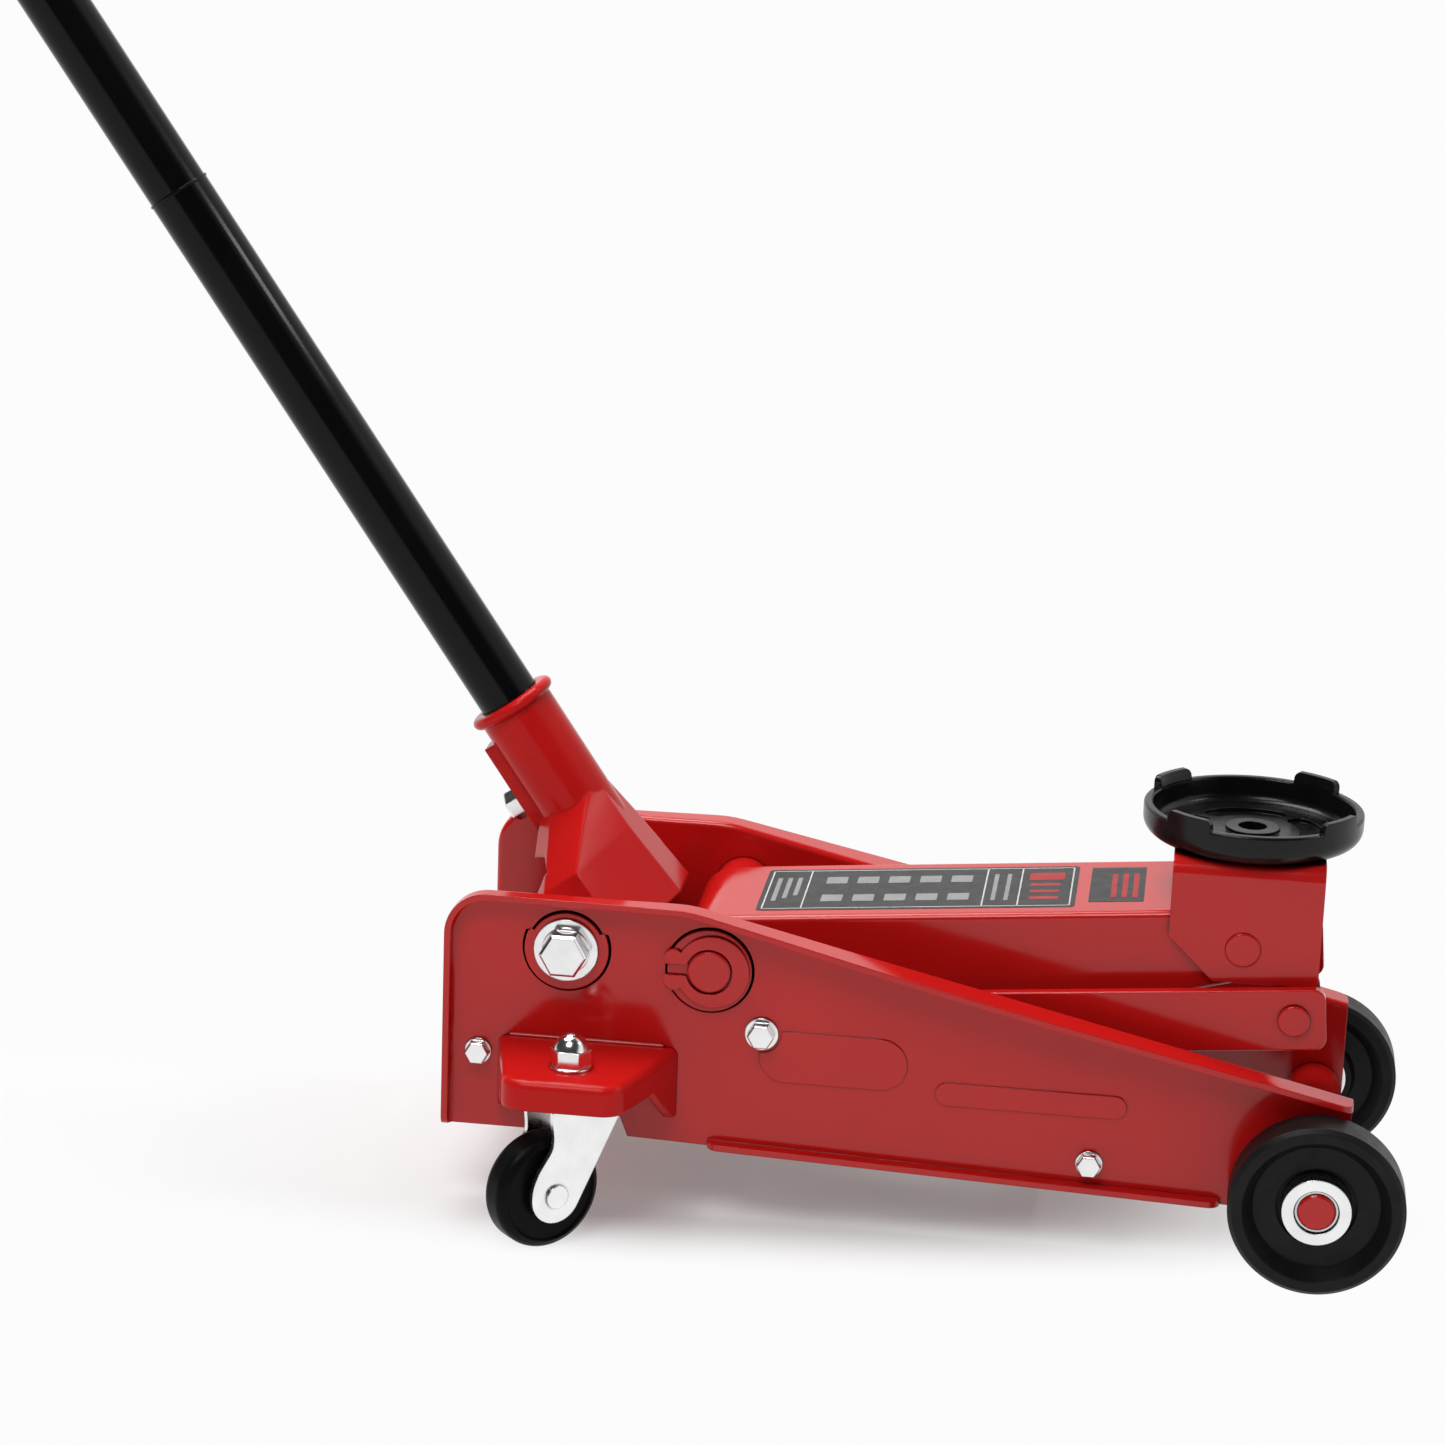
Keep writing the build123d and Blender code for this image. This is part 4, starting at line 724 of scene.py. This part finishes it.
class JACK_OT_welds(bpy.types.Operator):
    """Lays weld beads where the caster brackets meet the side plates"""

    bl_idname = "jack.welds"
    bl_label = "Weld beads"

    def execute(self, context):
        bead = context.scene.jack_fine.bead
        for side, sign in (("left", 1), ("right", -1)):
            low, high = (Vector(corner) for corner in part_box(f"caster_bracket_{side}"))
            wall = sign * min(abs(low.y), abs(high.y))
            ripple, inset, growth = 0.0016, 0.0052, 1.12
            start = Vector((low.x + inset, wall, high.z))
            wire = Wire(start, Vector((1, 0, 0)), bead, 12)
            steps = int((high.x - low.x - 2 * inset) / ripple)
            for step in range(steps):
                wire.run(Vector((ripple, 0, 0)))
                verts = list({vert for edge in wire.edges for vert in edge.verts})
                swell = growth if step % 2 else 1 / growth
                middle = start + Vector((ripple * (step + 1), 0, 0))
                bmesh.ops.scale(
                    wire.bm, verts=verts, vec=(1, swell, swell),
                    space=Matrix.Translation(-middle))
            weld = make_piece(wire.close(), f"bracket_weld_{side}", "red_paint", "frame", 60)
        return {"FINISHED"}


class JACK_OT_groove_shade(bpy.types.Operator):
    """Lays dark bands of painted groove shade round the embossed rings of the side plates"""

    bl_idname = "jack.grooves"
    bl_label = "Ring groove shade"

    def execute(self, context):
        fine = context.scene.jack_fine
        pivot, shaft = place_of("handle_pump"), place_of("lift_arm_raise")
        for side, sign in (("left", 1), ("right", -1)):
            wall = sign * (abs(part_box("side_plate_left")[0][1]) + fine.plate)
            bm = bmesh.new()
            self.band(bm, shaft, wall, self.ring(fine.boss), fine.groove)
            self.band(bm, pivot, wall, self.eared(fine), fine.groove)
            # these thin dark bands are painted shade at the foot of the embossed rings
            bmesh.ops.solidify(bm, geom=bm.faces[:], thickness=fine.groove / 12)
            groove = make_piece(bm, f"ring_groove_shade_{side}", "painted_groove_shade", "frame")
        return {"FINISHED"}

    def ring(self, radius, steps=72):
        """Points round a ring."""
        turns = (2 * pi * k / steps for k in range(steps))
        return [Vector((cos(turn), sin(turn))) * radius for turn in turns]

    def eared(self, fine):
        """Outline of the pivot's ring: narrower above its two ears."""
        points = []
        for point in self.ring(1.0, 96):
            low = point * fine.boss
            points.append(low if low.y < fine.ear else point * fine.boss_top)
        return points

    def band(self, bm, centre, wall, outline, width):
        """A flat band along the outside of an outline."""
        rows = []
        for scale in (0.0, width):
            rows.append([
                bm.verts.new((centre.x + q.x, wall, centre.z + q.y))
                for q in (p + p.normalized() * scale for p in outline)])
        count = len(outline)
        for k in range(count):
            n = (k + 1) % count
            bm.faces.new((rows[0][k], rows[0][n], rows[1][n], rows[1][k]))


def seen_ray(tree):
    """One for rays from the camera and for those that a shiny or clear face sends on."""
    path = tree.nodes.new("ShaderNodeLightPath")
    total = path.outputs["Is Camera Ray"]
    for kind in ("Is Glossy Ray", "Is Transmission Ray"):
        most = tree.nodes.new("ShaderNodeMath")
        most.operation = "MAXIMUM"
        tree.links.new(total, most.inputs[0])
        tree.links.new(path.outputs[kind], most.inputs[1])
        total = most.outputs["Value"]
    return total


class JACK_OT_studio(bpy.types.Operator):
    """Makes the floor, the lights and the camera"""

    bl_idname = "jack.studio"
    bl_label = "Studio"

    def execute(self, context):
        studio = context.scene.jack_studio
        self.floor(studio)
        self.lights(studio)
        self.world(studio)
        self.camera(studio)
        context.scene.view_settings.view_transform = "Standard"
        return {"FINISHED"}

    def floor(self, studio):
        bm = bmesh.new()
        bmesh.ops.create_grid(bm, x_segments=1, y_segments=1, size=FLOOR_HALF)
        mesh = bpy.data.meshes.new("floor")
        bm.to_mesh(mesh)
        bm.free()
        ground = bpy.data.objects.new("floor", mesh)
        bpy.context.scene.collection.objects.link(ground)
        look = Nodes("floor")
        look.plain(Roughness=0.6, Specular_IOR_Level=0.1)
        look.vary(
            "Base Color", look.noise(3), scaled(studio.floor, 0.995), scaled(studio.floor, 1.005))
        reach = look.add("ShaderNodeVectorMath", operation="LENGTH")
        far = look.add("ShaderNodeMapRange", interpolation_type="SMOOTHSTEP")
        far.inputs["From Min"].default_value = studio.glow_start
        far.inputs["From Max"].default_value = studio.glow_end
        far.inputs["To Min"].default_value = studio.glow
        part = look.add("ShaderNodeMath", operation="MULTIPLY")
        white = look.add("ShaderNodeEmission")
        white.inputs["Color"].default_value = (*BACKDROP, 1)
        mix = look.add("ShaderNodeMixShader")
        end = look.tree.nodes["Material Output"]
        oval = look.add("ShaderNodeMapping")
        oval.inputs["Scale"].default_value = FLOOR_OVAL
        look.link(look.place, oval.inputs["Vector"])
        look.link(oval.outputs["Vector"], reach.inputs[0])
        look.link(reach.outputs["Value"], far.inputs["Value"])
        look.link(far.outputs["Result"], part.inputs[0])
        look.link(seen_ray(look.tree), part.inputs[1])
        look.link(part.outputs["Value"], mix.inputs["Fac"])
        look.link(look.shader.outputs["BSDF"], mix.inputs[1])
        look.link(white.outputs["Emission"], mix.inputs[2])
        look.link(mix.outputs["Shader"], end.inputs["Surface"])
        mesh.materials.append(look.material)

    def lights(self, studio):
        for name, (place, aim, width, height, share) in LAMPS.items():
            lamp = bpy.data.lights.new(name, "AREA")
            lamp.shape = "RECTANGLE"
            lamp.size = width
            lamp.size_y = height
            lamp.energy = studio.key * share
            holder = bpy.data.objects.new(name, lamp)
            bpy.context.scene.collection.objects.link(holder)
            turn = (Vector(aim) - Vector(place)).to_track_quat("-Z", "Y").to_matrix().to_4x4()
            holder.matrix_world = Matrix.Translation(place) @ turn

    def world(self, studio):
        world = bpy.data.worlds.new("studio")
        world.use_nodes = True
        bpy.context.scene.world = world
        tree = world.node_tree
        light = tree.nodes["Background"]
        light.inputs["Color"].default_value = (1, 1, 1, 1)
        light.inputs["Strength"].default_value = studio.fill
        seen = tree.nodes.new("ShaderNodeBackground")
        place = tree.nodes.new("ShaderNodeTexCoord")
        towards = tree.nodes.new("ShaderNodeVectorMath")
        towards.operation = "DOT_PRODUCT"
        towards.inputs[1].default_value = ROOM_WAY
        depth = tree.nodes.new("ShaderNodeMapRange")
        depth.inputs["From Min"].default_value = ROOM_START
        depth.inputs["From Max"].default_value = ROOM_END
        path = tree.nodes.new("ShaderNodeLightPath")
        share = tree.nodes.new("ShaderNodeMath")
        share.operation = "MULTIPLY"
        room = tree.nodes.new("ShaderNodeMix")
        room.data_type = "RGBA"
        room.inputs["A"].default_value = (*BACKDROP, 1)
        room.inputs["B"].default_value = (*ROOM, 1)
        tree.links.new(place.outputs["Generated"], towards.inputs[0])
        tree.links.new(towards.outputs["Value"], depth.inputs["Value"])
        tree.links.new(depth.outputs["Result"], share.inputs[0])
        tree.links.new(path.outputs["Is Glossy Ray"], share.inputs[1])
        tree.links.new(share.outputs["Value"], room.inputs["Factor"])
        tree.links.new(room.outputs["Result"], seen.inputs["Color"])
        mix = tree.nodes.new("ShaderNodeMixShader")
        tree.links.new(seen_ray(tree), mix.inputs["Fac"])
        tree.links.new(light.outputs["Background"], mix.inputs[1])
        tree.links.new(seen.outputs["Background"], mix.inputs[2])
        tree.links.new(mix.outputs["Shader"], tree.nodes["World Output"].inputs["Surface"])

    def camera(self, studio):
        az, el, roll = studio.azimuth, studio.elevation, studio.roll
        back = Vector((sin(az) * cos(el), -cos(az) * cos(el), sin(el)))
        right = Vector((cos(az), sin(az), 0))
        up = back.cross(right)
        side = right * cos(roll) + up * sin(roll)
        head = up * cos(roll) - right * sin(roll)
        data = bpy.data.cameras.new("camera")
        data.lens = studio.lens
        data.sensor_width = SENSOR
        holder = bpy.data.objects.new("camera", data)
        bpy.context.scene.collection.objects.link(holder)
        turn = Matrix((side, head, back)).transposed().to_4x4()
        place = Vector(studio.target) + back * studio.distance
        holder.matrix_world = Matrix.Translation(place) @ turn
        bpy.context.scene.camera = holder


class JACK_PT_panel(bpy.types.Panel):
    """Lists the jack's operators and values"""

    bl_label = "Trolley jack"
    bl_idname = "JACK_PT_panel"
    bl_space_type = "VIEW_3D"
    bl_region_type = "UI"
    bl_category = "Jack"

    def draw(self, context):
        for operator in OPERATORS:
            self.layout.operator(operator.bl_idname)
        for group in (context.scene.jack_looks, context.scene.jack_fine, context.scene.jack_studio):
            for name in group.__annotations__:
                self.layout.prop(group, name)


OPERATORS = (
    JACK_OT_finishes,
    JACK_OT_return_springs,
    JACK_OT_pump_spring,
    JACK_OT_tube_rim,
    JACK_OT_grip,
    JACK_OT_panel,
    JACK_OT_welds,
    JACK_OT_groove_shade,
    JACK_OT_studio,
)
CLASSES = (JackLooks, JackFine, JackStudio, *OPERATORS, JACK_PT_panel)


def register():
    for cls in CLASSES:
        bpy.utils.register_class(cls)
    bpy.types.Scene.jack_looks = bpy.props.PointerProperty(type=JackLooks)
    bpy.types.Scene.jack_fine = bpy.props.PointerProperty(type=JackFine)
    bpy.types.Scene.jack_studio = bpy.props.PointerProperty(type=JackStudio)


def unregister():
    del bpy.types.Scene.jack_looks
    del bpy.types.Scene.jack_fine
    del bpy.types.Scene.jack_studio
    for cls in reversed(CLASSES):
        bpy.utils.unregister_class(cls)


def main():
    register()
    bpy.ops.jack.finishes()
    bpy.ops.jack.return_springs()
    bpy.ops.jack.pump_spring()
    bpy.ops.jack.tube_rim()
    bpy.ops.jack.grip()
    bpy.ops.jack.panel()
    bpy.ops.jack.welds()
    bpy.ops.jack.grooves()
    bpy.ops.jack.studio()


if __name__ == "__main__":
    main()
